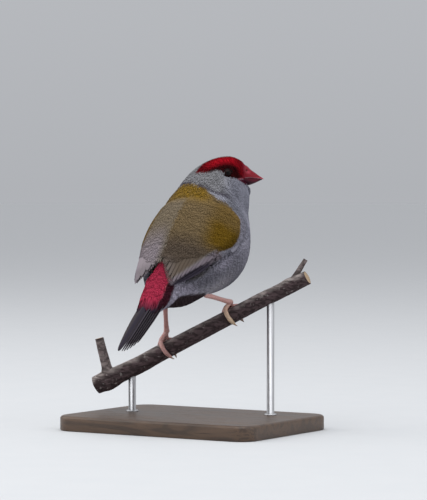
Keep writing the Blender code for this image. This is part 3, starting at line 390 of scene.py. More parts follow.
class Shader:
    """A Principled material that is put together from node expressions."""

    def __init__(self, name: str, roughness: float, **fixed: float) -> None:
        """Make the material and set the sockets that are the same all over the surface.

        Args:
            name: Name of the material.
            roughness: Roughness where nothing else feeds it.
            fixed: Other socket values, by name with underscores for spaces.
        """
        self.material = bpy.data.materials.new(name)
        self.material.use_nodes = True
        self.tree = self.material.node_tree
        self.principled = self.tree.nodes["Principled BSDF"]
        self.principled.inputs["Roughness"].default_value = roughness
        for key, value in fixed.items():
            self.principled.inputs[key.replace("_", " ")].default_value = value

    def node(self, kind: str, settings: dict, values: dict) -> bpy.types.Node:
        """Add a node.

        Args:
            kind: Type of the node.
            settings: Its settings, which are set first.
            values: Values or links of its sockets, by name or index.

        Returns:
            The node.
        """
        made = self.tree.nodes.new(kind)
        for key, value in settings.items():
            setattr(made, key, value)
        for key, value in values.items():
            if isinstance(value, Sock):
                self.tree.links.new(value.socket, made.inputs[key])
            else:
                target = made.inputs[key]
                if isinstance(value, (tuple, list, np.ndarray)) and len(target.default_value) == 4:
                    value = (*[float(v) for v in value][:3], 1.0)
                target.default_value = value
        return made

    def place(self) -> Sock:
        """Return the Object coordinates."""
        return Sock(self, self.node("ShaderNodeTexCoord", {}, {}).outputs["Object"])

    def stretched(self, scale: Sequence[float], turn: Sequence[float] = (0, 0, 0)) -> Sock:
        """Return the Object coordinates turned and scaled."""
        values = {"Vector": self.place(), "Scale": scale, "Rotation": turn}
        return Sock(self, self.node("ShaderNodeMapping", {}, values).outputs[0])

    def tint(self) -> Sock:
        """Return the colour that is stored in the mesh."""
        return Sock(self, self.node("ShaderNodeAttribute", {"attribute_name": "Tint"}, {}).outputs["Color"])

    def map_axes(self, name: str) -> tuple[Sock, Sock]:
        """Return the two numbers of a texture map."""
        uv = Sock(self, self.node("ShaderNodeUVMap", {"uv_map": name}, {}).outputs[0])
        split = self.node("ShaderNodeSeparateXYZ", {}, {0: uv})
        return Sock(self, split.outputs[0]), Sock(self, split.outputs[1])

    def noise(self, scale: float, detail: float = 2.0, vector: Optional[Sock] = None,
              distortion: float = 0.0) -> Sock:
        """Return a noise from 0 to 1; a scale of 1000 has features of about a millimetre."""
        values = {"Vector": vector or self.place(), "Scale": scale, "Detail": detail,
                  "Distortion": distortion}
        return Sock(self, self.node("ShaderNodeTexNoise", {}, values).outputs[0])

    def cells(self, scale: float, vector: Optional[Sock] = None, feature: str = "F1") -> Sock:
        """Return the distance pattern of a Voronoi texture."""
        values = {"Vector": vector or self.place(), "Scale": scale}
        return Sock(self, self.node("ShaderNodeTexVoronoi", {"feature": feature}, values).outputs["Distance"])

    def mix(self, a: Value, b: Value, factor: Value, way: str = "MIX") -> Sock:
        """Return two colours mixed."""
        made = self.node("ShaderNodeMix", {"data_type": "RGBA", "blend_type": way},
                         {0: factor, 6: a, 7: b})
        return Sock(self, made.outputs[2])

    def shade(self, colour: Value, light: Sock) -> Sock:
        """Return a colour made darker or lighter by a number."""
        grey = self.node("ShaderNodeCombineColor", {}, {0: light, 1: light, 2: light})
        return self.mix(colour, Sock(self, grey.outputs[0]), 1.0, "MULTIPLY")

    def finish(self, colour: Value, roughness: Optional[Sock] = None, height: Optional[Sock] = None,
               depth: float = 0.1, strength: float = 0.5) -> bpy.types.Material:
        """Feed the shader and return the material.

        Args:
            colour: Colour over the surface.
            roughness: Roughness over the surface.
            height: Relief over the surface, from 0 to 1.
            depth: Height of that relief in millimetres.
            strength: Strength of the Bump node.

        Returns:
            The material.
        """
        feeds = {"Base Color": colour, "Roughness": roughness}
        for key, value in feeds.items():
            if isinstance(value, Sock):
                self.tree.links.new(value.socket, self.principled.inputs[key])
            elif value is not None:
                self.principled.inputs[key].default_value = (*value, 1.0)
        if height is not None:
            relief = {"Strength": strength, "Distance": depth * UNIT, "Height": height}
            bump = self.node("ShaderNodeBump", {}, relief)
            self.tree.links.new(bump.outputs[0], self.principled.inputs["Normal"])
        return self.material


@dataclass(frozen=True)
class PlumeFinish:
    """Soft matt feathers that take their colour from the mesh."""
    name: str
    roughness: float = 0.78
    mottle: float = 0.12
    grain: float = 2600.0

    def make(self) -> bpy.types.Material:
        """Return the material: stored colour, fine grain and broad mottling."""
        shader = Shader(self.name, self.roughness, Specular_IOR_Level=0.04)
        fine = shader.noise(self.grain, 2.0)
        broad = shader.noise(230.0, 3.0)
        light = (1.0 - self.mottle) + fine * self.mottle + broad * self.mottle
        colour = shader.shade(shader.tint(), light)
        return shader.finish(colour, (fine * 0.2 + (self.roughness - 0.1)), fine, 0.05, 0.3)


@dataclass(frozen=True)
class VaneFinish:
    """Flight feathers: slanted barbs either side of a shaft, on the map Vane."""
    name: str
    roughness: float = 0.62
    barbs: float = 46.0
    shaft: float = 0.035

    def make(self) -> bpy.types.Material:
        """Return the material: barbs are a sine of the length plus the distance from the shaft."""
        shader = Shader(self.name, self.roughness, Specular_IOR_Level=0.12)
        across, along = shader.map_axes("Vane")
        out = (across - 0.5).math("ABSOLUTE")
        wave = ((along * self.barbs - out * 9.0) * FULL_TURN).math("SINE") * 0.5 + 0.5
        shaft = 1.0 - out.band(self.shaft * 0.4, self.shaft)
        broad = shader.noise(420.0, 3.0)
        fine = shader.noise(2400.0, 2.0)
        light = 0.78 + wave * 0.10 + broad * 0.20 + fine * 0.12 - shaft * 0.16
        colour = shader.shade(shader.tint(), light)
        height = wave * 0.6 + shaft
        return shader.finish(colour, broad * 0.2 + (self.roughness - 0.1), height, 0.03, 0.35)


@dataclass(frozen=True)
class HornFinish:
    """Glossy horn of the bill and claws."""
    name: str
    roughness: float
    coat: float
    streak: float
    scale: tuple[float, float, float] = (1.0, 1.0, 1.0)

    def make(self) -> bpy.types.Material:
        """Return the material: stored colour with growth streaks, pits and a thin gloss."""
        shader = Shader(self.name, self.roughness, Coat_Weight=self.coat, Coat_Roughness=0.25,
                        Specular_IOR_Level=0.12)
        fine = shader.noise(1500.0, 4.0, shader.stretched(self.scale))
        broad = shader.noise(500.0, 2.0)
        light = (1.0 - self.streak) + fine * self.streak + broad * self.streak
        colour = shader.shade(shader.tint(), light)
        return shader.finish(colour, fine * 0.22 + (self.roughness - 0.06), fine, 0.06, 0.35)


@dataclass(frozen=True)
class LegFinish:
    """Scaly skin of the legs and feet."""
    name: str = "leg_skin"

    def make(self) -> bpy.types.Material:
        """Return the material: stored colour, darker between small scales, with a waxy gloss."""
        shader = Shader(self.name, 0.45, Coat_Weight=0.15, Coat_Roughness=0.4, Subsurface_Weight=0.06,
                        Subsurface_Scale=0.001)
        cell = shader.cells(2300.0, feature="DISTANCE_TO_EDGE")
        seam = cell.band(0.02, 0.16)
        broad = shader.noise(700.0, 3.0)
        colour = shader.shade(shader.tint(), 0.62 + seam * 0.24 + broad * 0.3)
        return shader.finish(colour, 0.62 - seam * 0.16, seam, 0.05, 0.5)


@dataclass(frozen=True)
class EyeFinish:
    """Wet dark eye."""
    name: str = "dark_eye"

    def make(self) -> bpy.types.Material:
        """Return the material: stored iris colours, fine streaks, clear coat."""
        shader = Shader(self.name, 0.30, Coat_Weight=0.09, Coat_Roughness=0.05, Specular_IOR_Level=0.05)
        fine = shader.noise(5200.0, 3.0)
        return shader.finish(shader.shade(shader.tint(), fine * 0.8 + 0.6), fine * 0.1 + 0.25)


@dataclass(frozen=True)
class BarkFinish:
    """Weathered bark with long fissures, darker in the fissures and paler on the ridges between them."""
    name: str = "weathered_bark"

    def make(self) -> bpy.types.Material:
        """Return the material: noise drawn out along the branch, with lichen flecks."""
        shader = Shader(self.name, 0.9, Specular_IOR_Level=0.2)
        slope = math.atan2(0.515, 1.0)
        turned = shader.stretched((0.16, 1.0, 1.0), (0.0, slope, -math.radians(15.0)))
        grain = shader.noise(900.0, 5.0, turned, 0.6)
        fissure = grain.band(0.40, 0.62)
        fleck = shader.noise(620.0, 4.0).band(0.60, 0.72)
        speck = shader.noise(2600.0, 3.0)
        colour = shader.shade(shader.tint(), 0.42 + fissure * 0.72 + speck * 0.30)
        colour = shader.mix(colour, (0.34, 0.31, 0.29), fleck * 0.45)
        height = fissure * 0.7 + speck * 0.3
        return shader.finish(colour, 0.95 - fissure * 0.12, height, 0.22, 0.8)


@dataclass(frozen=True)
class CutWoodFinish:
    """Sawn end of the branch with growth rings."""
    name: str = "cut_wood"

    def make(self) -> bpy.types.Material:
        """Return the material: rings are a sine of the distance from the pith, on the map Rings."""
        shader = Shader(self.name, 0.8, Specular_IOR_Level=0.25)
        x, y = shader.map_axes("Rings")
        reach = (x * x + y * y).math("SQRT")
        wobble = shader.noise(700.0, 3.0)
        ring = ((reach * 9.0 + wobble * 0.8) * FULL_TURN).math("SINE") * 0.5 + 0.5
        wood = shader.mix((0.30, 0.20, 0.12), (0.48, 0.36, 0.24), ring)
        colour = shader.mix(wood, (0.07, 0.05, 0.045), reach.band(0.86, 0.96))
        return shader.finish(colour, 0.85 - ring * 0.1, ring, 0.06, 0.5)


@dataclass(frozen=True)
class BaseFinish:
    """Dark oiled hardwood of the base."""
    name: str = "oiled_base"

    def make(self) -> bpy.types.Material:
        """Return the material: long grain with pores and a satin oil finish."""
        shader = Shader(self.name, 0.45, Coat_Weight=0.12, Coat_Roughness=0.35)
        long = shader.noise(150.0, 6.0, shader.stretched((0.12, 1.0, 1.0)), 1.6)
        pore = shader.noise(2600.0, 2.0, shader.stretched((0.05, 1.0, 1.0))).band(0.60, 0.72)
        ring = ((long * 26.0).math("SINE") * 0.5 + 0.5)
        colour = shader.mix((0.045, 0.026, 0.016), (0.115, 0.066, 0.038), ring * 0.6 + long * 0.35)
        colour = shader.mix(colour, (0.018, 0.011, 0.008), pore * 0.6)
        return shader.finish(colour, 0.40 + pore * 0.25 + ring * 0.06, 1.0 - pore, 0.05, 0.35)


@dataclass(frozen=True)
class RodFinish:
    """Brushed steel of the rods."""
    name: str = "brushed_rod"

    def make(self) -> bpy.types.Material:
        """Return the material: fine lengthways scratches."""
        shader = Shader(self.name, 0.32, Metallic=1.0)
        brushed = shader.noise(2400.0, 3.0, shader.stretched((1.0, 1.0, 0.04)))
        colour = shader.mix((0.42, 0.42, 0.43), (0.62, 0.62, 0.63), brushed)
        return shader.finish(colour, brushed * 0.22 + 0.24, brushed, 0.02, 0.25)


@dataclass(frozen=True)
class FloorFinish:
    """Plain pale floor."""
    name: str = "pale_floor"

    def make(self) -> bpy.types.Material:
        """Return the material."""
        shader = Shader(self.name, 0.85, Specular_IOR_Level=0.15)
        grain = shader.noise(60.0, 3.0)
        return shader.finish(shader.mix((0.60, 0.61, 0.62), (0.63, 0.635, 0.64), grain))


# Form of the bird

@dataclass
class Form:
    """Outer form of the bird as distance fields.

    The body is a smooth union of ellipsoids and round cones, and its sections are cut by planes
    that follow a path from the tail to the bill.
    """
    blend_width: float = 6.0
    wing_bed: float = 3.5
    # centre, radii to the right, fore and up, yaw and pitch in degrees
    ellipsoids: tuple = (
        (0.00, -5.63, 34.24, 20.47, 24.71, 16.52, 0.0, 41.0),
        (-2.01, 4.88, 45.96, 17.19, 14.80, 14.38, 8.0, 50.0),
        (4.06, 10.48, 57.17, 10.65, 6.60, 10.80, 40.0, 40.0),
        (0.06, 8.66, 61.25, 8.30, 12.05, 6.35, 55.0, 22.0),
        (0.00, -17.86, 24.18, 14.00, 13.00, 10.22, 0.0, 55.0),
        (0.16, 1.62, 31.73, 17.09, 16.95, 15.92, 10.0, 40.0),
        (0.00, -34.6, 14.6, 4.90, 7.50, 2.20, 0.0, 41.0),
        (-1.33, 4.39, 57.20, 6.50, 6.29, 4.06, 38.0, 40.0))
    # first end and radius, second end and radius
    cones: tuple = (
        (0.0, -24.0, 19.4, 8.4, 0.0, -38.0, 12.0, 3.1),
        (6.0, 12.0, 61.4, 6.6, 11.2, 15.5, 60.9, 4.0))
    # x, y, z, pitch and yaw in degrees
    path: tuple = (
        (0.0, -38.0, 12.3, 41.0, 0.0), (0.0, -31.0, 17.0, 43.0, 0.0), (0.0, -22.0, 23.5, 45.0, 0.0),
        (0.0, -12.0, 31.5, 45.0, 2.0), (0.0, -4.0, 40.0, 43.0, 7.0), (0.4, 1.5, 47.0, 40.0, 14.0),
        (1.2, 5.0, 52.0, 37.0, 22.0), (2.2, 7.6, 55.8, 33.0, 31.0), (3.6, 9.6, 58.8, 29.0, 40.0),
        (5.6, 11.4, 60.6, 25.0, 47.0), (8.2, 13.3, 61.3, 21.0, 53.0), (11.1, 15.4, 61.3, 16.0, 55.0))
    head_yaw: float = 57.0
    head_pitch: float = -4.0
    bill_root: tuple = (9.83, 14.75, 61.9)
    face_origin: tuple = (10.75, 15.35, 61.9)
    face_end: float = 74.4
    eye_start: tuple = (4.0, 9.9, 62.7)
    eye_radius: float = 1.95
    wing_centre: tuple = (0.0, -5.0, 34.0)
    wing_pitch: float = 50.0
    wing_arc: float = 18.5
    wing_low: tuple = ((-31.0, 34.0), (-24.0, 49.0), (-19.5, 57.0), (-15.5, 66.0), (-10.0, 73.0),
                       (-5.0, 80.0), (0.0, 88.0), (6.0, 95.0), (12.0, 92.0))
    wing_up: tuple = ((-30.0, 20.0), (-22.0, 8.0), (-18.0, 5.0), (-10.0, 8.0), (0.0, 14.0), (12.0, 24.0))
    droop: tuple = (10.0, -2.5, 28.0)

    def __post_init__(self) -> None:
        """Work out the directions and the knots of the path."""
        self.track = np.array(self.path)
        steps = np.linalg.norm(np.diff(self.track[:, :3], axis=0), axis=1)
        self.knots = np.concatenate([[0.0], np.cumsum(steps)])
        self.head_fore, self.head_up, self.head_right = axes(self.head_yaw, self.head_pitch)
        self.fore, self.normal, self.right = axes(0.0, self.wing_pitch)
        self.bill = np.array(self.bill_root)
        self.centre = np.array(self.wing_centre)

    @staticmethod
    def ellipsoid(local: Array, radii: Array) -> Array:
        """Return the distance from an ellipsoid: k (k - 1) over the length of its gradient."""
        first = np.linalg.norm(local / radii, axis=-1) + 1e-9
        second = np.linalg.norm(local / radii**2, axis=-1) + 1e-9
        return first * (first - 1.0) / second

    @staticmethod
    def union(first: Array, second: Array, width: float) -> Array:
        """Return the smooth minimum of two distances."""
        h = np.maximum(width - np.abs(first - second), 0.0) / width
        return np.minimum(first, second) - h * h * width / 4.0

    def plumage(self, points: Array) -> Array:
        """Return the distance from the outer form."""
        result = None
        for cx, cy, cz, side, length, height, yaw, pitch in self.ellipsoids:
            fore, up, right = axes(yaw, pitch)
            q = points - np.array([cx, cy, cz])
            d = self.ellipsoid(np.stack([q @ right, q @ fore, q @ up], -1), np.array([side, length, height]))
            result = d if result is None else self.union(result, d, self.blend_width)
        for ax, ay, az, ra, bx, by, bz, rb in self.cones:
            a = np.array([ax, ay, az])
            way = np.array([bx, by, bz]) - a
            h = np.clip(((points - a) @ way) / (way @ way), 0.0, 1.0)
            d = np.linalg.norm(points - a - h[..., None] * way, axis=-1) - (ra + (rb - ra) * h)
            result = self.union(result, d, self.blend_width)
        return result

    def chart(self, points: Array) -> tuple[Array, Array]:
        """Return the station along the wing axis and the angle from the back in degrees."""
        q = points - self.centre
        return q @ self.fore, np.degrees(np.arctan2(q @ self.right, q @ self.normal))

    def edges(self, along: Array) -> tuple[Array, Array]:
        """Return the upper and lower edge of a folded wing at stations, in degrees."""
        low = np.array(self.wing_low).T
        top = np.array(self.wing_up).T
        return np.interp(along, top[0], top[1]), np.interp(along, low[0], low[1])

    def hang(self, along: Array, angle: Array) -> Array:
        """Return how many degrees the left wing hangs at places on the chart; the right one doesn't."""
        most, start, span = self.droop
        return np.where(angle < 0.0, most, 0.0) * np.clip(start - along, 0.0, span) / span

    def flesh(self, points: Array) -> Array:
        """Return the distance from the body, which is pressed in under the folded wings."""
        along, angle = self.chart(points)
        angle = np.abs(angle) - self.hang(along, angle)
        top, low = self.edges(along)
        window = smooth(angle - top, -7.0, 3.0) * fall(angle - low, -2.0, 10.0)
        window = window * smooth(along, -27.0, -20.0) * fall(along, 8.0, 13.0)
        return self.plumage(points) + self.wing_bed * window

    def wing(self, points: Array) -> Array:
        """Return the distance from the body joined to a half ellipsoid drawn out backwards."""
        q = points - self.centre
        local = np.stack([q @ self.right, q @ self.fore, q @ self.normal], -1)
        length = np.where(local[..., 1] < 0.0, 60.0, 25.0)
        radii = np.stack([np.full(length.shape, 20.2), length, np.full(length.shape, 18.2)], -1)
        return self.union(self.plumage(points), self.ellipsoid(local, radii), 3.0)

    @staticmethod
    def cast(field_of: Callable, start: Array, way: Array, level: Array, reach: float = 34.0) -> Array:
        """Return the length along rays at which a field reaches a level, by halving."""
        low = np.zeros(np.broadcast_shapes(start.shape, way.shape)[:-1])
        high = np.full(low.shape, reach)
        for _ in range(20):
            middle = 0.5 * (low + high)
            inside = field_of(start + middle[..., None] * way) < level
            low = np.where(inside, middle, low)
            high = np.where(inside, high, middle)
        return 0.5 * (low + high)

    def section(self, t: Array) -> tuple[Array, Array, Array, Array]:
        """Return centre, fore, up and right of the sections at lengths along the path."""
        value = hermite(self.knots, self.track, np.asarray(t, float))
        return (value[..., :3], *axes(value[..., 4], value[..., 3]))

    def path_place(self, points: Array) -> tuple[Array, Array]:
        """Return the length along the path of the nearest section plane, and the angle round it."""
        t = np.linspace(0.0, self.knots[-1], 240)
        centre, fore, up, right = self.section(t)
        best = np.abs(points @ fore.T - (centre * fore).sum(-1)).argmin(-1)
        q = points - centre[best]
        return t[best], np.degrees(np.arctan2((q * right[best]).sum(-1), (q * up[best]).sum(-1)))

    def head_place(self, points: Array) -> Array:
        """Return points in the level frame of the face: right, fore and up."""
        q = points - np.array(self.face_origin)
        level = axes(self.head_yaw, 0.0)
        return np.stack([q @ level[2], q @ level[0], q @ level[1]], -1)

    def eye(self, side: Side) -> tuple[Array, Array]:
        """Return the centre of an eyeball and the direction that it looks in."""
        start = np.array(self.eye_start)
        ray = unit(side.value * self.head_right + 0.12 * self.head_fore + 0.06 * self.head_up)
        reach = self.cast(self.flesh, start, ray, 0.0, 16.0)
        return start + (reach - self.eye_radius + 0.45) * ray, ray

    def wing_points(self, side: Side, along: Array, angle: Array, level: Array) -> tuple[Array, Array, Array]:
        """Return centre, ray and reach of wing places: station, angle in degrees and level."""
        turn = side.value * np.radians(angle)
        centre = self.centre + along[..., None] * self.fore
        ray = np.cos(turn)[..., None] * self.normal + np.sin(turn)[..., None] * self.right
        reach = self.cast(self.wing, centre, ray, level)
        clear = self.cast(self.flesh, centre, ray, 0.15)
        return centre, ray, np.maximum(reach, clear)


class Patch:
    """A surface on a grid, which can be read between its points."""

    def __init__(self, points: Array, outside: Callable[[Array], Array], wraps: bool) -> None:
        """Work out the normals and the size of a cell.

        Args:
            points: Grid of points, rows from the tail to the bill.
            outside: Function that gives a rough outward direction at points.
            wraps: Whether the last column joins the first.
        """
        self.points = points
        self.wraps = wraps
        self.rows, self.columns = points.shape[:2]
        down = np.gradient(points, axis=0)
        if wraps:
            across = (np.roll(points, -1, 1) - np.roll(points, 1, 1)) / 2.0
        else:
            across = np.gradient(points, axis=1)
        normal = unit(np.cross(down, across))
        turned = np.sign(np.einsum("ijk,ijk->ij", normal, outside(points)))[..., None]
        self.normal = normal * np.where(turned == 0.0, 1.0, turned)
        self.step_row = np.linalg.norm(down, axis=-1)
        self.step_column = np.linalg.norm(across, axis=-1)

    def read(self, values: Array, row: Array, column: Array) -> Array:
        """Return grid values between grid places, by a mean of the four corners."""
        row = np.clip(row, 0.0, self.rows - 1.001)
        i = row.astype(int)
        u = row - i
        if self.wraps:
            column = np.mod(column, self.columns)
            j = np.minimum(column.astype(int), self.columns - 1)
            k = (j + 1) % self.columns
        else:
            column = np.clip(column, 0.0, self.columns - 1.001)
            j = column.astype(int)
            k = j + 1
        w = column - j
        if values.ndim == 3:
            u = u[..., None]
            w = w[..., None]
        return ((values[i, j] * (1 - u) + values[i + 1, j] * u) * (1 - w)
                + (values[i, k] * (1 - u) + values[i + 1, k] * u) * w)

    def scatter(self, spacing: Array, draw: np.random.Generator) -> tuple[Array, Array]:
        """Return even places: along each column one where the summed area passes a whole number.

        Args:
            spacing: Distance between neighbours at each grid point.
            draw: Source of the seeded offsets.

        Returns:
            Rows and columns of the places.
        """
        share = self.step_row * self.step_column / spacing**2
        total = np.cumsum(share, axis=0) + draw.uniform(0.0, 1.0, self.columns)[None, :]
        passed = np.diff(np.floor(total), axis=0, prepend=np.floor(total[:1]))
        i, j = np.nonzero(passed > 0.0)
        return i + draw.uniform(-0.5, 0.5, len(i)), j + draw.uniform(-0.5, 0.5, len(j))


@dataclass
class Tufts:
    """Settings of the small feathers of one region: each is a fan of tapered, ridged barb tufts."""
    length: float
    width: float
    lobes: int = 5
    spread: float = 13.0
    sink: float = 0.15
    rise: float = 1.0
    thick: float = 0.07
    jitter: float = 4.0

    def grow(self, patch: Patch, row: Array, column: Array, size: Array, depth: Array,
             turn: Array, draw: np.random.Generator) -> tuple[Array, Array, Array, Array, Array]:
        """Grow feathers on a patch.

        Args:
            patch: Surface that they lie on.
            row: Rows of the roots.
            column: Columns of the roots.
            size: Size of each feather, 1 for the stated length.
            depth: Depth of the coat at each root.
            turn: Direction of each feather from straight back, in degrees.
            draw: Source of the seeded differences.

        Returns:
            Points by tuft and corner, triangles, share along the tuft of each corner, the number
            of each tuft's feather, and row and column of each corner. A ring lies at root, middle and
            shoulder, and a point at the tip.
        """
        count = len(row)
        place = np.linspace(-1.0, 1.0, self.lobes)[None, :] + draw.uniform(-0.10, 0.10, (count, self.lobes))
        stray = draw.normal(0.0, self.jitter * 0.35, place.shape)
        angle = np.radians(turn[:, None] + place * self.spread + stray)
        angle = angle + np.radians(draw.normal(0.0, self.jitter, (count, 1)))
        length = self.length * size[:, None] * (1.0 - 0.20 * np.abs(place) ** 1.6)
        length = length * draw.uniform(0.90, 1.08, place.shape)
        broad = self.width * size[:, None] / self.lobes * 1.75 * draw.uniform(0.85, 1.15, place.shape)
        offset = place * self.width * size[:, None] * 0.30
        stations = np.array([0.0, 0.42, 0.80])
        shape = np.array([0.55, 1.0, 0.74])
        corner_along = np.concatenate([np.repeat(stations, 3), [1.0]])
        corner_side = np.concatenate([(shape[:, None] * np.array([-0.5, 0.0, 0.5])).reshape(-1), [0.0]])
        corner_up = np.concatenate([np.tile([0.0, 1.0, 0.0], 3) * np.repeat([0.7, 1.0, 0.8], 3), [0.3]])
        along = corner_along * length[..., None]
        side = corner_side * broad[..., None] + offset[..., None] * (0.45 + 0.55 * corner_along)
        cosine = np.cos(angle)[..., None]
        sine = np.sin(angle)[..., None]
        back = along * cosine - side * sine
        across = along * sine + side * cosine
        step_row = patch.read(patch.step_row, row, column)[:, None, None]
        step_column = np.maximum(patch.read(patch.step_column, row, column), 0.02)[:, None, None]
        at_row = row[:, None, None] - back / np.maximum(step_row, 0.02)
        at_column = column[:, None, None] + across / step_column
        lift = (depth * self.rise)[:, None] * draw.uniform(0.96, 1.04, place.shape)
        lift = lift - 0.12 * depth[:, None] * np.abs(place)
        height = (lift[..., None] + self.sink) * (1.0 - (1.0 - corner_along) ** 2)
        height = height - self.sink - (0.95 * depth)[:, None, None]
        height = height + corner_up * self.thick
        spot = patch.read(patch.points, at_row, at_column)
        normal = unit(patch.read(patch.normal, at_row, at_column))
        points = spot + height[..., None] * normal
        owner = np.repeat(np.arange(count), self.lobes)
        at_row = at_row + draw.normal(0.0, 0.25, (count, 1, 1)) / np.maximum(step_row, 0.02)
        chart = np.stack([at_row, at_column], -1).reshape(-1, 10, 2)
        return points.reshape(-1, TUFT_CORNERS, 3), self.faces(len(owner)), corner_along, owner, chart

    @staticmethod
    def faces(count: int) -> Array:
        """Return the triangles of a number of tufts: three-sided, closed at the root, pointed."""
        made = [(0, 2, 1)]
        for ring in (0, 3):
            for a, b in ((0, 1), (1, 2), (2, 0)):
                made += [(ring + a, ring + b, ring + 3 + b), (ring + a, ring + 3 + b, ring + 3 + a)]
        made += [(6, 7, 9), (7, 8, 9), (8, 6, 9)]
        return (TUFT_CORNERS * np.arange(count)[:, None, None] + np.array(made)).reshape(-1, 3)


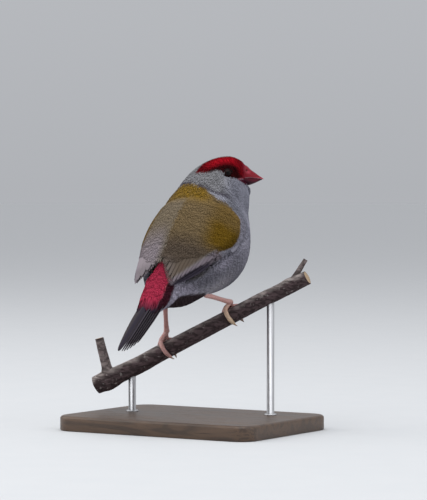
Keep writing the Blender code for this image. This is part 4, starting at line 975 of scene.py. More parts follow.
class Markings:
    """Colours of the plumage by place."""

    def __init__(self, form: Form) -> None:
        """Keep the form."""
        self.form = form

    def head(self, points: Array, colour: Array) -> Array:
        """Return colours with the brow, the lores and the crown laid over them.

        The brow lies between two curves of the side view and outside a stripe along the crown.
        """
        place = self.form.head_place(points)
        side, fore, up = np.abs(place[..., 0]), place[..., 1], place[..., 2]
        wobble = 0.16 * waves(points, 2.6, 31)
        low = np.interp(fore, (-21.0, -20.2, -16.3, -11.7, -9.7, -8.0, -6.2, -3.9, 1.0),
                        (3.2, 1.2, 1.4, 2.3, 1.8, 0.5, -0.4, -1.0, -1.2))
        high = np.interp(fore, (-21.0, -19.0, -17.2, -14.0, -11.6, -5.6, -2.4, 0.2),
                         (1.0, 3.2, 5.2, 6.9, 7.8, 8.1, 7.0, 5.6))
        crown = np.interp(fore, (-18.0, -12.0, -4.0, -1.0, 0.5), (1.5, 2.0, 1.9, 1.1, 0.5))
        rear = smooth(fore + wobble, -21.0, -20.2)
        brow = (smooth(up - low + wobble, -0.25, 0.25) * fall(up - high + wobble, -0.4, 0.4)
                * smooth(side - crown + wobble, -0.4, 0.4) * rear)
        # The dark zone under the roof curve: black lores ahead of the eye, spread round and behind the eye as
        # painted shade under the brow.
        roof = np.interp(fore, (-15.4, -12.9, -11.3, -9.0, -6.2, -4.1, -2.7, -2.1, -1.2),
                         (2.8, 3.75, 4.4, 4.9, 4.9, 3.9, 1.9, 0.4, -0.6))
        dark = fall(up - roof, -0.9, 0.7)
        dark = dark * smooth(fore, -17.5, -14.0) * fall(fore, -2.4, -1.0)
        # Painted highlight: a brighter red arc above the dark zone, along the brow ridge.
        arc = np.exp(-((up - roof - 1.7) / 0.9) ** 2) * smooth(fore, -20.0, -15.0) * fall(fore, -7.0, -2.5)
        red = lerp(Tone.BROW.rgb * np.ones(fore.shape)[..., None], Tone.ARC.rgb, 0.8 * arc)
        red = red * (1.0 - 0.55 * fall(fore, -18.0, -12.0) - 0.35 * smooth(fore, -5.0, -2.5))[..., None]
        red = lerp(red, Tone.LORE.rgb, dark * 0.97)
        red = lerp(red, Tone.CRIMSON.rgb * 0.7, smooth(fore, -1.8, -0.4) * 0.6)
        colour = lerp(colour, red, brow)
        jaw = np.interp(fore, (-3.5, -1.6, -0.3, 1.0), (-1.4, -2.5, -3.3, -3.5))
        chin = smooth(up - jaw, -0.2, 0.2) * fall(up, -1.5, -1.1) * smooth(fore, -3.7, -3.3)
        colour = lerp(colour, Tone.CHIN.rgb, chin)
        # Painted highlight: a thin pink line along the gape.
        line = np.exp(-((up + 1.2 - 0.2 * (fore + 3.5)) / 0.25) ** 2) * smooth(fore, -3.9, -3.2)
        return lerp(colour, Tone.GAPE.rgb * 0.7, 0.8 * line)

    def body(self, t: Array, angle: Array, points: Array) -> Array:
        """Return the colours of the body.

        Args:
            t: Length along the path of the sections.
            angle: Angle round the section from its top, in degrees.
            points: The places themselves.

        Returns:
            Linear colours: grey hood and underparts, olive mantle, crimson rump, and painted shade at the
                vent.
        """
        turn = np.abs(angle)
        wobble = waves(points, 3.0, 11)
        ones = np.ones(t.shape)
        head = self.form.head_place(points)
        grey = lerp(Tone.NAPE.rgb * ones[..., None], Tone.CHEEK.rgb, smooth(turn, 50.0, 100.0))
        grey = lerp(grey, Tone.CROWN.rgb, smooth(t, 56.0, 66.0) * fall(turn, 25.0, 60.0))
        grey = lerp(grey, Tone.BREAST.rgb, smooth(turn, 105.0, 150.0) * fall(t, 58.0, 68.0))
        under = lerp(Tone.BREAST.rgb * ones[..., None], Tone.FLANK.rgb, fall(t, 30.0, 48.0))
        under = lerp(under, Tone.BELLY.rgb, smooth(turn, 102.0, 132.0) * fall(t, 24.0, 38.0))
        # Painted shade on the flank under the wing.
        under_wing_shade = np.exp(-((turn - 101.0) / 8.0) ** 2) * smooth(t, 11.0, 15.0) * fall(t, 23.0, 28.0)
        under = under * (1.0 - 0.25 * under_wing_shade)[..., None]
        pale = np.exp(-((t - 29.0) / 5.0) ** 2 - ((turn - 94.0) / 12.0) ** 2)
        under = lerp(under, Tone.SIDE_STRIP.rgb * 1.1, 0.45 * pale)
        under = lerp(under, Tone.SIDE_STRIP.rgb, fall(t, 10.0, 17.0) * smooth(turn, 60.0, 76.0))
        edge = np.interp(turn, (0.0, 20.0, 35.0, 49.0, 58.0, 72.0, 86.0, 98.0),
                         (55.6, 55.6, 55.3, 54.1, 53.4, 54.4, 54.6, 51.0))
        back = lerp(Tone.OLIVE.rgb * ones[..., None], Tone.DUSTY.rgb, fall(t, 22.0, 34.0))
        back = lerp(back, Tone.GOLD.rgb, np.clip(self.gold(t, turn) * (1.0 + 0.3 * wobble), 0.0, 0.90))
        colour = lerp(under, grey, smooth(t, 46.0, 54.0))
        # Painted shade on the side of the neck.
        neck = smooth(turn, 56.0, 66.0) * fall(turn, 94.0, 112.0) * smooth(t, 53.0, 56.0)
        colour = colour * (1.0 - 0.24 * neck * fall(t, 60.0, 64.0))[..., None]
        # Painted shade on the jowl and a painted light on the right side of the throat.
        jowl_shade = np.exp(-((turn - 106.0) / 13.0) ** 2 - ((t - 66.5) / 3.5) ** 2)
        throat = np.exp(-((turn - 130.0) / 13.0) ** 2 - ((t - 61.5) / 4.5) ** 2)
        colour = colour * (1.0 - 0.34 * jowl_shade + 0.45 * throat)[..., None]
        mantle = fall(t - edge + 0.5 * wobble, -0.6, 0.6) * fall(turn + 2.0 * wobble, 84.0, 92.0)
        mantle = mantle * np.maximum(smooth(t, 15.0, 17.5), fall(turn, 58.0, 66.0))
        colour = lerp(colour, back, mantle)
        # A dark line painted as the shade in the crease between hood and mantle, and a lighter strip between
        # the mantle's edge and the crease.
        fold = np.interp(turn, (4.0, 20.0, 33.0, 47.0, 63.0, 81.0, 90.0),
                         (56.0, 55.9, 56.2, 56.4, 57.2, 59.3, 59.7))
        crease_shade = np.exp(-((t - fold) / 0.60) ** 2) * smooth(turn, 6.0, 12.0) * fall(turn, 80.0, 90.0)
        strip = smooth(t - edge, 0.1, 0.6) * fall(t - fold, -0.9, -0.4) * smooth(turn, 24.0, 36.0)
        colour = lerp(colour, Tone.CHEEK.rgb * 1.45, 0.7 * strip * fall(turn, 70.0, 84.0))
        colour = lerp(colour, Tone.SLATE.rgb * 1.7, 0.90 * crease_shade)
        rump = np.interp(t, (-2.0, 2.0, 5.4, 7.6, 9.8, 12.0, 14.0, 16.7, 17.8),
                         (72.0, 70.0, 59.0, 52.0, 52.0, 58.0, 42.0, 20.0, 0.0))
        left = smooth(-angle, 5.0, 25.0)
        rump = rump + 26.0 * left * fall(t, 15.0, 18.0)
        pale = np.interp(t, (0.0, 2.5, 6.4, 9.7, 12.5), (122.0, 109.0, 89.0, 74.0, 66.0))
        # A dark band along the right side of the rump: dark coverts, partly painted shade below the wing tip.
        side = smooth(turn - rump, -2.0, 2.0) * fall(turn - pale, -4.0, 2.0)
        side = side * fall(t, 13.0, 16.5) * (1.0 - left)
        colour = lerp(colour, Tone.DUSK.rgb, side)
        red = fall(turn - rump + 1.5 * wobble, -2.5, 2.5) * fall(t, 17.2, 18.2)
        colour = lerp(colour, Tone.CRIMSON.rgb * (0.9 + 0.1 * wobble)[..., None], red * smooth(t, -2.8, -1.8))
        colour = lerp(colour, Tone.SLATE.rgb, fall(t, -2.8, -1.8) * fall(turn, 84.0, 100.0))
        # Painted shade under the tail: past this angle the colour turns to the dark vent shade.
        vent = np.interp(t, (0.0, 2.5, 4.5, 6.2, 8.2, 10.5, 13.2, 16.9, 20.0, 23.0),
                         (190.0, 165.0, 138.0, 122.0, 111.0, 114.0, 118.0, 125.0, 142.0, 190.0))
        dark = smooth(turn - vent + 2.5 * wobble, -3.0, 3.0)
        colour = lerp(colour, Tone.VENT.rgb, dark)
        shade = 1.0 + 0.07 * wobble + 0.05 * waves(points, 1.4, 12)
        colour = colour * shade[..., None]
        return np.where((head[..., 1] > -23.0)[..., None], self.head(points, colour), colour)

    @staticmethod
    def gold(t: Array, angle: Array) -> Array:
        """Return how gold the nape is at sections and angles, from 0 to 1."""
        return 0.82 * smooth(t, 43.5, 52.5) * fall(np.abs(angle), 26.0, 60.0)

    @staticmethod
    def line(along: Array) -> Array:
        """Return the angle of the pale line of a folded wing at stations."""
        return np.interp(along, (-32.0, -28.2, -27.0, -24.4, -20.7, -17.5, -13.0, -8.7, -4.0, 12.0),
                         (10.0, 22.0, 27.5, 34.5, 42.5, 48.5, 55.5, 62.5, 72.0, 98.0))

    def wing(self, along: Array, angle: Array) -> Array:
        """Return the colours of a folded wing.

        Args:
            along: Station on the wing axis.
            angle: Angle from the back in degrees, as on an undrooped wing.

        Returns:
            Linear colours: olive, gold on the bend, brown behind, a painted mauve sheen at the inner
            edge; beyond a pale line a soft strip and the dark primaries.
        """
        ones = np.ones(along.shape)[..., None]
        beyond = 0.28 * (angle - self.line(along))
        colour = lerp(Tone.OLIVE.rgb * ones, Tone.UMBER.rgb, fall(along, -15.0, -3.0))
        # Painted sheen: a mauve tint at the inner edge of the rear wing.
        colour = lerp(colour, Tone.MAUVE.rgb, 0.75 * fall(angle, 6.0, 34.0) * fall(along, -27.0, -16.0))
        bend = smooth(angle + 0.35 * along, 30.0, 54.0) * smooth(along, -12.5, -6.0)
        bend = bend * (1.0 - 0.45 * smooth(along, 0.0, 5.0))
        colour = lerp(colour, Tone.AMBER.rgb, bend)
        front = np.interp(along, (-9.1, -7.1, -3.8, -0.2, 4.3, 9.7, 11.8, 12.9, 14.0),
                          (66.0, 71.0, 77.5, 80.0, 79.5, 76.0, 71.5, 67.0, 60.0))
        # Painted shade along the lower edge of the bend.
        rim = smooth(angle - front, -13.0, -2.0) * fall(along, -2.0, 7.0) * smooth(along, -12.0, -7.0)
        colour = colour * (1.0 - 0.50 * rim)[..., None]
        # Breast grey darkened as painted shade below the wing's front edge.
        colour = lerp(colour, Tone.BREAST.rgb * 0.64,
                      smooth(angle - front, -0.8, 1.2) * smooth(along, -11.5, -9.5))
        rear = fall(along, -11.0, -8.5)
        colour = lerp(colour, Tone.STRIP.rgb, smooth(beyond, -0.1, 0.3) * rear)
        pale = np.exp(-((beyond + 0.05) / 0.38) ** 2) * rear
        colour = lerp(colour, Tone.EDGE.rgb, 0.85 * pale)
        band = np.interp(along, (-30.0, -26.5, -23.4, -20.6, -18.1, -15.6, -11.0),
                         (28.0, 36.0, 42.5, 48.5, 54.0, 60.0, 74.0))
        dark = smooth(0.28 * (angle - band), -0.35, 0.35)
        return lerp(colour, Tone.SLATE.rgb, dark * fall(along, -12.0, -8.0))


# Body

@dataclass
class Body:
    """Skin of head, neck, trunk and rump with the coat of small feathers on it."""
    form: Form
    marks: Markings
    columns: int = 260
    tail_block: tuple = ((0.3, 4.7, 2.0, 2.5), (1.9, 4.9, 1.9, 2.5), (3.5, 4.7, 1.5, 2.3),
                         (4.9, 4.0, 1.0, 1.9),
                         (6.0, 2.8, 0.4, 1.4))
    bill_base: tuple = (3.38, 4.20)
    seed: int = 20

    def __post_init__(self) -> None:
        """Work out the grid of the outer form from the root of the tail to the root of the bill."""
        form = self.form
        angle = np.linspace(0.0, 2.0 * np.pi, self.columns, endpoint=False)
        t = np.linspace(0.0, form.face_end, 220)
        centre, _, up, right = form.section(t)
        ray = np.cos(angle)[None, :, None] * up[:, None] + np.sin(angle)[None, :, None] * right[:, None]
        reach = form.cast(form.flesh, centre[:, None], ray, 0.0)
        main = centre[:, None] + reach[..., None] * ray
        cosine, sine = np.cos(angle)[:, None], np.sin(angle)[:, None]
        root = form.bill + 0.2 * form.head_fore + self.bill_base[1] * cosine * form.head_up
        root = root + self.bill_base[0] * sine * form.head_right
        above = np.maximum(cosine, 0.0)
        crown, chin = smooth(cosine, 0.30, 0.90), smooth(-cosine, 0.20, 0.75)
        tip = smooth(-cosine, 0.50, 0.95) * (2.2 * form.head_fore + 0.32 * form.head_up)
        root = root + above * (0.72 * form.head_up) + above**3 * (0.5 * form.head_fore) + tip
        end = main[-1]
        share = (np.linspace(0.0, 1.0, 15)[1:] ** 0.9)[:, None, None]
        forward = ((root - tip - end) @ form.head_fore)[None, :, None]
        lift = (np.sqrt(1.0 - (1.0 - share) ** 2) - share) * (1.0 - 0.55 * crown)
        muzzle = end[None] + (root - end)[None] * share + forward * lift * form.head_fore
        spine, _, up, right = form.section(form.face_end + share[:, 0, 0] * (form.knots[-1] - form.face_end))
        ray = cosine * up[:, None] + sine * right[:, None]
        under = spine[:, None] + form.cast(form.flesh, spine[:, None], ray, 0.0)[..., None] * ray
        fade = np.clip((1.0 - share) / 0.12, 0.0, 1.0)
        under = under * fade + root * (1.0 - fade) + 3.6 * fade * (1.0 - fade) * 0.40 * form.head_fore
        muzzle = muzzle + (under - muzzle) * chin
        _, fore, first_up, first_right = form.section(np.array([0.0]))
        block = np.array(self.tail_block[::-1])
        cosine = np.cos(angle)
        tall = np.where(cosine > 0.0, block[:, 2:3], block[:, 3:4]) * cosine
        tail = (centre[0] - block[:, 0, None, None] * fore[0] + tall[..., None] * first_up[0]
                + (block[:, 1:2] * np.sin(angle))[..., None] * first_right[0])
        grid = np.concatenate([tail, main, muzzle])
        self.t = np.concatenate([-block[:, 0], t, form.face_end + 3.5 * share[:, 0, 0]])
        self.angle = np.degrees(np.where(angle > np.pi, angle - 2.0 * np.pi, angle))
        spine = np.concatenate([centre[0] - block[:, :1] * fore[0], centre,
                                np.repeat(centre[-1:], len(share), 0)])
        self.patch = Patch(grid, lambda p: p - spine[:, None], True)
        self.sockets = [form.eye(side) for side in Side]
        t_grid = np.broadcast_to(self.t[:, None], grid.shape[:2])
        a_grid = np.broadcast_to(self.angle[None, :], grid.shape[:2])
        self.colours = self.marks.body(t_grid, a_grid, grid)
        self.depth = self.coat_depth(t_grid, grid)
        LOG.info("body grid %s", grid.shape)

    def coat_depth(self, t: Array, points: Array) -> Array:
        """Return the depth of the coat: thin on the face and at the eye, deep on breast and belly."""
        depth = 1.05 - 0.45 * smooth(t, 54.0, 64.0) - 0.25 * smooth(t, 68.0, 79.0)
        depth = depth - 0.35 * fall(t, -2.0, 8.0)
        for centre, ray in self.sockets:
            near = np.linalg.norm(points - centre - ray * 1.6, axis=-1)
            depth = depth * (0.35 + 0.65 * smooth(near, 1.9, 4.5))
        return depth

    def skin(self, finish: bpy.types.Material) -> None:
        """Make the skin: the outer form drawn in by the depth of the coat, with hollows at the eyes."""
        patch = self.patch
        grid = patch.points - (self.depth * 0.95)[..., None] * patch.normal
        for centre, ray in self.sockets:
            off = grid - centre
            flat = off - (off @ ray)[..., None] * ray
            reach = np.linalg.norm(flat, axis=-1)
            hollow = fall(reach, 1.35, 2.2) * ((off @ ray) > 0.0)
            grid = grid - (0.75 * hollow)[..., None] * ray
        shapes = [tube(grid)]
        # The skin is darker than the coat, as painted shade under the feathers.
        tints = [tube_points(self.colours) * 0.8]
        for side in Side:
            thigh, faces = Legs.thigh_shape(side, -0.35)
            shapes.append((thigh, faces))
            # Painted shade: the thigh under its coat is darker than the belly.
            tints.append(np.broadcast_to(Tone.BELLY.rgb * 0.8, thigh.shape))
        whole, faces = joined(shapes)
        make_piece("skin", whole, faces, finish, ("head", "neck", "torso", "rump"), "hood",
                   np.concatenate(tints))

    def coat(self, finishes: dict[str, bpy.types.Material]) -> None:
        """Grow the small feathers in regions, each one piece."""
        draw = np.random.default_rng(self.seed)
        t = self.t[:, None] + 0.0 * self.angle[None, :]
        turn = np.abs(self.angle)[None, :] + 0.0 * self.t[:, None]
        spacing = 1.02 - 0.28 * smooth(t, 52.0, 62.0) - 0.24 * smooth(t, 66.0, 77.0)
        spacing = spacing - 0.12 * fall(t, 2.0, 14.0)
        row, column = self.patch.scatter(spacing, draw)
        at_t = np.interp(row, np.arange(len(self.t)), self.t)
        at_turn = self.patch.read(turn, row, column)
        spot = self.patch.read(self.patch.points, row, column)
        keep = self.clear_of_parts(spot, at_t)
        row, column, at_t, at_turn, spot = row[keep], column[keep], at_t[keep], at_turn[keep], spot[keep]
        size = 1.0 - 0.30 * smooth(at_t, 53.0, 63.0) - 0.32 * smooth(at_t, 66.0, 76.0)
        size = size - 0.10 * fall(at_t, 2.0, 12.0)
        regions = {
            "coat_head": at_t > 60.0,
            "coat_throat": (at_t <= 60.0) & (at_t > 50.0),
            "coat_mantle": (at_t <= 50.0) & (at_turn < 75.0) & (at_t > 19.0),
            "coat_breast": (at_t <= 50.0) & (at_turn >= 75.0) & (at_t > 34.0),
            "coat_belly": (at_t <= 34.0) & (at_turn >= 75.0) & (at_t > 19.0),
            "coat_rump": at_t <= 19.0,
        }
        slots = {"coat_mantle": "mantle", "coat_rump": "rump"}
        tufts = Tufts(5.2, 3.3)
        for name, chosen in regions.items():
            self.grow(name, tufts, row[chosen], column[chosen], size[chosen], finishes["plume"],
                      slots.get(name, "hood"), draw)

    def clear_of_parts(self, spot: Array, t: Array) -> Array:
        """Return which roots stay: none on the eyes, in the bill or under the wings."""
        keep = np.ones(len(spot), bool)
        for centre, ray in self.sockets:
            off = spot - centre
            flat = off - (off @ ray)[:, None] * ray
            reach = np.linalg.norm(flat, axis=-1)
            ahead = flat @ self.form.head_fore
            limit = 1.95 + 0.9 * smooth(ahead, -0.5, 1.8)
            keep &= ~((reach < limit) & (off @ ray > 0.0))
        low = self.form.head_place(spot)[..., 2] < -3.4
        keep &= t < self.form.face_end + np.where(low, 3.42, 3.2)
        along, angle = self.form.chart(spot)
        top, low = self.form.edges(along)
        angle = np.abs(angle) - self.form.hang(along, angle)
        under = (angle > top + 9.0) & (angle < low - 10.0) & (along < 8.0) & (along > -18.0)
        return keep & ~under

    def grow(self, name: str, tufts: Tufts, row: Array, column: Array, size: Array,
             finish: bpy.types.Material, slot: str, draw: np.random.Generator) -> None:
        """Make one region of the coat."""
        patch = self.patch
        depth = patch.read(self.depth, row, column)
        turn = np.zeros(len(row))
        points, faces, along, owner, chart = tufts.grow(patch, row, column, size, depth, turn, draw)
        tint = patch.read(self.colours, chart[..., 0], chart[..., 1])
        tint = varied(tint, owner, len(row), along, draw)
        place = np.stack([np.mod(column / patch.columns, 1.0), row / patch.rows], -1)
        maps = {"OFBake": bake_map(place, owner, along)}
        make_piece(name, points, [faces], finish, (), slot, tint, maps)


def varied(tint: Array, owner: Array, count: int, along: Array, draw: np.random.Generator) -> Array:
    """Return colours that vary by feather and by tuft and get lighter towards the tip.

    Args:
        tint: Colours by tuft and corner.
        owner: Number of the feather of each tuft.
        count: Number of feathers.
        along: Share along the tuft of each corner.
        draw: Source of random numbers.

    Returns:
        The varied colours.
    """
    tint = tint * draw.normal(1.0, 0.04, count)[owner][:, None, None]
    tint = tint * draw.uniform(0.96, 1.04, (len(owner), 1, 1))
    # Painted shade: each tuft is darker at its root, under the feathers that lie over it.
    return tint * (0.88 + 0.14 * along)[None, :, None]


def bake_map(place: Array, owner: Array, along: Array) -> Array:
    """Return a small patch for each feather at its root's place on the unwrapped skin."""
    side = np.concatenate([np.tile([-0.5, 0.0, 0.5], 3), [0.0]])
    patch = np.stack([side, along - 0.5], -1) * BAKE_PATCH
    spot = 0.005 + 0.99 * place[owner]
    return spot[:, None, :] + patch[None]


# Wings and tail

@dataclass
class Vane:
    """One long feather as a thin closed slab on a grid."""
    rows: int = 15
    columns: int = 7
    thick: float = 0.16
    tip: float = 2.2

    def outline(self) -> tuple[Array, Array, Array]:
        """Return the shares along, the shares across and the half width of each row, rounded at the tip."""
        s = 1.0 - (1.0 - np.linspace(0.0, 1.0, self.rows)) ** 1.35
        across = np.linspace(-1.0, 1.0, self.columns)
        width = smooth(s, -0.35, 0.30) * np.clip(1.0 - s ** (3.2 * self.tip), 0.0, 1.0) ** 0.5
        return s, across, np.maximum(width, 0.03)

    def maps(self) -> Array:
        """Return the map Vane of both faces."""
        s, across, _ = self.outline()
        grid = np.stack(np.meshgrid(0.5 + 0.5 * across, s, indexing="xy"), -1)
        return np.concatenate([grid.reshape(-1, 2)] * 2)


@dataclass
class Wing:
    """One folded wing: a bed, flight feathers, tiers of coverts and small feathers over its bend."""
    form: Form
    marks: Markings
    side: Side
    vane: Vane = field(default_factory=Vane)
    seed: int = 40

    def lay(self, root: tuple, tip: tuple, half: tuple, level: tuple, slope: tuple,
            bow: float = 0.0) -> tuple[Array, Array]:
        """Lay one vane on the wing chart.

        Args:
            root: Station and angle of the root.
            tip: Station and angle of the tip.
            half: Half width at the root and near the tip.
            level: Levels of the inner face at root, third and tip.
            slope: Rise of the level across the vane, at root and tip.
            bow: Sideways bend of the middle.

        Returns:
            Points of the lower grid followed by those of the upper one, and the colours of a grid.
        """
        arc = math.radians(1.0) * self.form.wing_arc
        start = np.array([root[0], root[1] * arc])
        end = np.array([tip[0], tip[1] * arc])
        s, columns, shape = self.vane.outline()
        way = unit(end - start)
        across = np.array([-way[1], way[0]])
        across = across if across[1] > 0.0 else -across
        line = start + s[:, None] * (end - start) + (bow * 4.0 * s * (1.0 - s))[:, None] * across
        width = (half[0] + (half[1] - half[0]) * s) * shape
        grid = line[:, None] + (width[:, None] * columns)[..., None] * across
        rise = np.interp(s, [0.0, 0.34, 1.0], level)
        tilt = slope[0] + (slope[1] - slope[0]) * s
        inner = rise[:, None] + tilt[:, None] * width[:, None] * columns
        inner = inner + 0.10 * (1.0 - columns**2) * np.minimum(width[:, None], 1.0)
        centre, ray, reach = self.form.wing_points(self.side, grid[..., 0], grid[..., 1] / arc, inner)
        depth = self.vane.thick * np.clip(1.15 - 0.5 * np.abs(columns) - 0.4 * s[:, None], 0.25, 1.0)
        low = centre + reach[..., None] * ray
        high = centre + (reach + depth)[..., None] * ray
        points = np.concatenate([low.reshape(-1, 3), high.reshape(-1, 3)])
        return points, self.colours(grid[..., 0], grid[..., 1] / arc)

    def fan(self, roots: Sequence[tuple], tips: Sequence[tuple], level: tuple, lift: float,
            overlap: float, bows: Optional[Array] = None) -> tuple[list, list]:
        """Return a fan of vanes side by side with their colours, each one over the next lower one."""
        arc = math.radians(1.0) * self.form.wing_arc
        root = np.array(roots, float)
        tip = np.array(tips, float)
        shapes = []
        tints = []
        draw = np.random.default_rng(self.seed + len(root))
        s, columns, _ = self.vane.outline()
        for k in range(len(root)):
            near = max(k - 1, 0)
            far = min(k + 1, len(root) - 1)
            step_root = abs(root[far, 1] - root[near, 1]) * arc / (far - near)
            step_tip = max(abs(tip[far, 1] - tip[near, 1]) * arc / (far - near), 0.8)
            half = (overlap * step_root, overlap * step_tip)
            slope = (lift / step_root, lift / step_tip)
            bow = 0.0 if bows is None else float(bows[k])
            grid, colour = self.lay(root[k], tip[k], half, level, slope, bow)
            shapes.append((grid, [slab_faces(self.vane.rows, self.vane.columns)]))
            # Painted shade: the outer edges of each vane are a little darker.
            out = smooth(np.abs(columns), 0.70, 1.0)[None, :] + 0.0 * s[:, None]
            colour = colour * (1.0 - 0.10 * out)[..., None] * draw.uniform(0.94, 1.06)
            tints.append(np.concatenate([colour.reshape(-1, 3)] * 2))
        return shapes, tints

    def bed(self) -> tuple[Array, list[Array]]:
        """Return the slab that carries the feathers, drawn in at its rim."""
        s = np.linspace(0.0, 1.0, 40)[:, None]
        w = np.linspace(0.0, 1.0, 34)[None, :]
        along = -9.0 + 19.5 * s + 0.0 * w
        top, low = self.form.edges(along)
        angle = top + 4.0 + (low - 5.5 - top) * w
        along = along - 4.0 * s**3 * np.clip((w - 0.5) / 0.5, 0.0, 1.0) ** 2
        along = along - 3.0 * s**3 * np.clip((0.5 - w) / 0.5, 0.0, 1.0) ** 2
        rim = np.maximum(np.abs(2.0 * w - 1.0) ** 5, np.abs(2.0 * s - 1.0) ** 7)
        centre, ray, near = self.form.wing_points(self.side, along, angle, -2.95 + 0.75 * rim)
        _, _, far = self.form.wing_points(self.side, along, angle, -0.85 - 0.95 * rim)
        far = np.maximum(far, near + 0.3)
        points = np.concatenate([(centre + near[..., None] * ray).reshape(-1, 3),
                                 (centre + far[..., None] * ray).reshape(-1, 3)])
        self.bed_chart = (np.concatenate([along.reshape(-1)] * 2), np.concatenate([angle.reshape(-1)] * 2))
        return points, [slab_faces(40, 34)]

    def drooped(self, along: Array, angle: Array) -> list[tuple[float, float]]:
        """Return tips whose angle is lowered as far as this wing hangs there."""
        along = np.asarray(along, float)
        hang = self.form.hang(along, np.full(along.shape, self.side.value))
        if self.side is Side.LEFT:
            hang = hang - 7.0 * fall(angle, 6.0, 26.0) + 3.0 * smooth(angle, 18.0, 28.0)
        return list(zip(along, angle + hang))

    def colours(self, along: Array, angle: Array) -> Array:
        """Return the colours of places on this wing, whose markings hang with it."""
        colour = self.marks.wing(along, angle - self.form.hang(along, np.full(along.shape, self.side.value)))
        # Painted sheen: the left wing is lighter and more lilac, and darker towards its tip.
        if self.side is Side.LEFT:
            colour = lerp(colour, Tone.DUSTY.rgb * 1.1, 0.5 * fall(angle, 34.0, 50.0))
            soft = smooth(-along, 0.0, 17.0) * smooth(angle, -2.0, 14.0)
            soft = soft * smooth(colour[..., 2], 0.028, 0.040)
            tone = Tone.MAUVE.rgb * np.array([1.60, 1.62, 1.85])
            colour = lerp(colour, tone, 0.78 * soft) * (1.0 - 0.30 * smooth(-along, 19.0, 24.0))[..., None]
        return colour

    def flight(self) -> tuple[list, list]:
        """Return the primaries and secondaries."""
        share = np.linspace(0.0, 1.0, 15)
        lengths = (-30.1, -29.8, -29.2, -28.4, -27.4, -26.2, -24.9, -23.5, -21.8)
        along = np.interp(share, np.linspace(0.0, 1.0, 9), lengths)
        if self.side is Side.LEFT:
            along = -5.0 + 0.93 * (along + 5.0)
        tips = self.drooped(along, 28.0 - 23.0 * share)
        roots = [(-5.0, 68.0 - 52.0 * k) for k in share]
        return self.fan(roots, tips, (-2.0, -1.7, -1.2), 0.36, 0.80, 3.4 * (1.0 - share) ** 1.5)

    def greater(self) -> tuple[list, list]:
        """Return the coverts of the secondaries and the tertials, whose tips make the pale line."""
        share = np.linspace(0.0, 1.0, 13)
        knots = np.linspace(0.0, 1.0, 7)
        along = np.interp(share, knots, (-13.0, -18.0, -22.5, -26.3, -28.9, -26.8, -22.6))
        tips = self.drooped(along, np.interp(share, knots, (62.5, 54.0, 45.5, 37.5, 29.5, 20.5, 10.0)))
        roots = [(-2.5, a) for a in np.interp(share, knots, (70.0, 61.0, 52.0, 43.0, 33.0, 23.0, 13.5))]
        return self.fan(roots, tips, (-1.35, -0.72, -0.55), 0.24, 0.72)

    def median(self) -> tuple[list, list]:
        """Return the median coverts."""
        angles = np.linspace(84.0, 22.0, 12)
        roots = [(3.4, a) for a in angles]
        tips = [(-5.4, a - 4.0 * (a - 22.0) / 62.0) for a in angles]
        return self.fan(roots, tips, (-1.5, -0.75, -0.35), 0.22, 0.72)

    def make(self, finishes: dict[str, bpy.types.Material]) -> None:
        """Make the wing's pieces."""
        shapes, tints = [], []
        for part in (self.flight(), self.greater(), self.median()):
            shapes += part[0]
            tints += part[1]
        points, faces = joined(shapes)
        maps = {"Vane": np.concatenate([self.vane.maps()] * len(shapes))}
        label = self.side.label
        make_piece(f"wing_feathers_{label}", points, faces, finishes["vane"], (f"wing_{label}",), "wing",
                   np.concatenate(tints), maps)
        points, faces = self.bed()
        # The bed is darker than the feathers over it, as painted shade under them.
        tint = self.colours(*self.bed_chart) * 0.6
        make_piece(f"wing_bed_{label}", points, faces, finishes["plume"], (), "wing", tint)
        self.small(finishes["plume"])

    def small(self, finish: bpy.types.Material) -> None:
        """Grow the lesser coverts and scapulars over the bend of the wing."""
        side = self.side
        along = np.linspace(-24.0, 13.5, 150)[:, None] + np.zeros(150)
        _, low = self.form.edges(along)
        share = np.linspace(0.0, 1.0, 150)[None, :]
        angle = (low + 2.5) * share - 1.5
        rim = smooth(share, 0.90, 1.0)
        rim = np.maximum(rim + 0.0 * along, smooth(along, 8.5, 13.5))
        level = 0.16 - 1.45 * rim**2 - 0.45 * smooth(-along, 6.0, 15.0)
        centre, ray, reach = self.form.wing_points(side, along, angle, level)
        patch = Patch(centre + reach[..., None] * ray, lambda p: ray, False)
        draw = np.random.default_rng(self.seed + int(side.value))
        row, column = patch.scatter(np.full(along.shape, 0.98), draw)
        a = patch.read(along, row, column)
        b = patch.read(angle, row, column)
        limit = np.interp(b, (0.0, 10.0, 20.0, 32.0, 45.0, 58.0, 66.0),
                          (-16.0, -17.0, -17.5, -15.5, -12.5, -9.5, -8.5))
        keep = a > limit + 0.9 * draw.normal(size=len(a))
        row, column, a, b = row[keep], column[keep], a[keep], b[keep]
        tufts = Tufts(4.6, 3.0)
        depth = np.full(len(row), 0.60) * (1.0 - 0.4 * patch.read(rim, row, column))
        turn = np.zeros(len(row))
        points, faces, share_along, owner, chart = tufts.grow(patch, row, column, np.ones(len(row)),
                                                              depth, turn, draw)
        at = patch.read(along, chart[..., 0], chart[..., 1]), patch.read(angle, chart[..., 0], chart[..., 1])
        gold = patch.read(self.marks.gold(*self.form.path_place(patch.points)), chart[..., 0], chart[..., 1])
        tint = lerp(self.colours(*at), Tone.GOLD.rgb, gold)
        tint = varied(tint, owner, len(row), share_along, draw)
        place = np.stack([column / patch.columns, row / patch.rows], -1)
        maps = {"OFBake": bake_map(place, owner, share_along)}
        make_piece(f"coat_wing_{side.label}", points, [faces], finish, (), "wing", tint, maps)


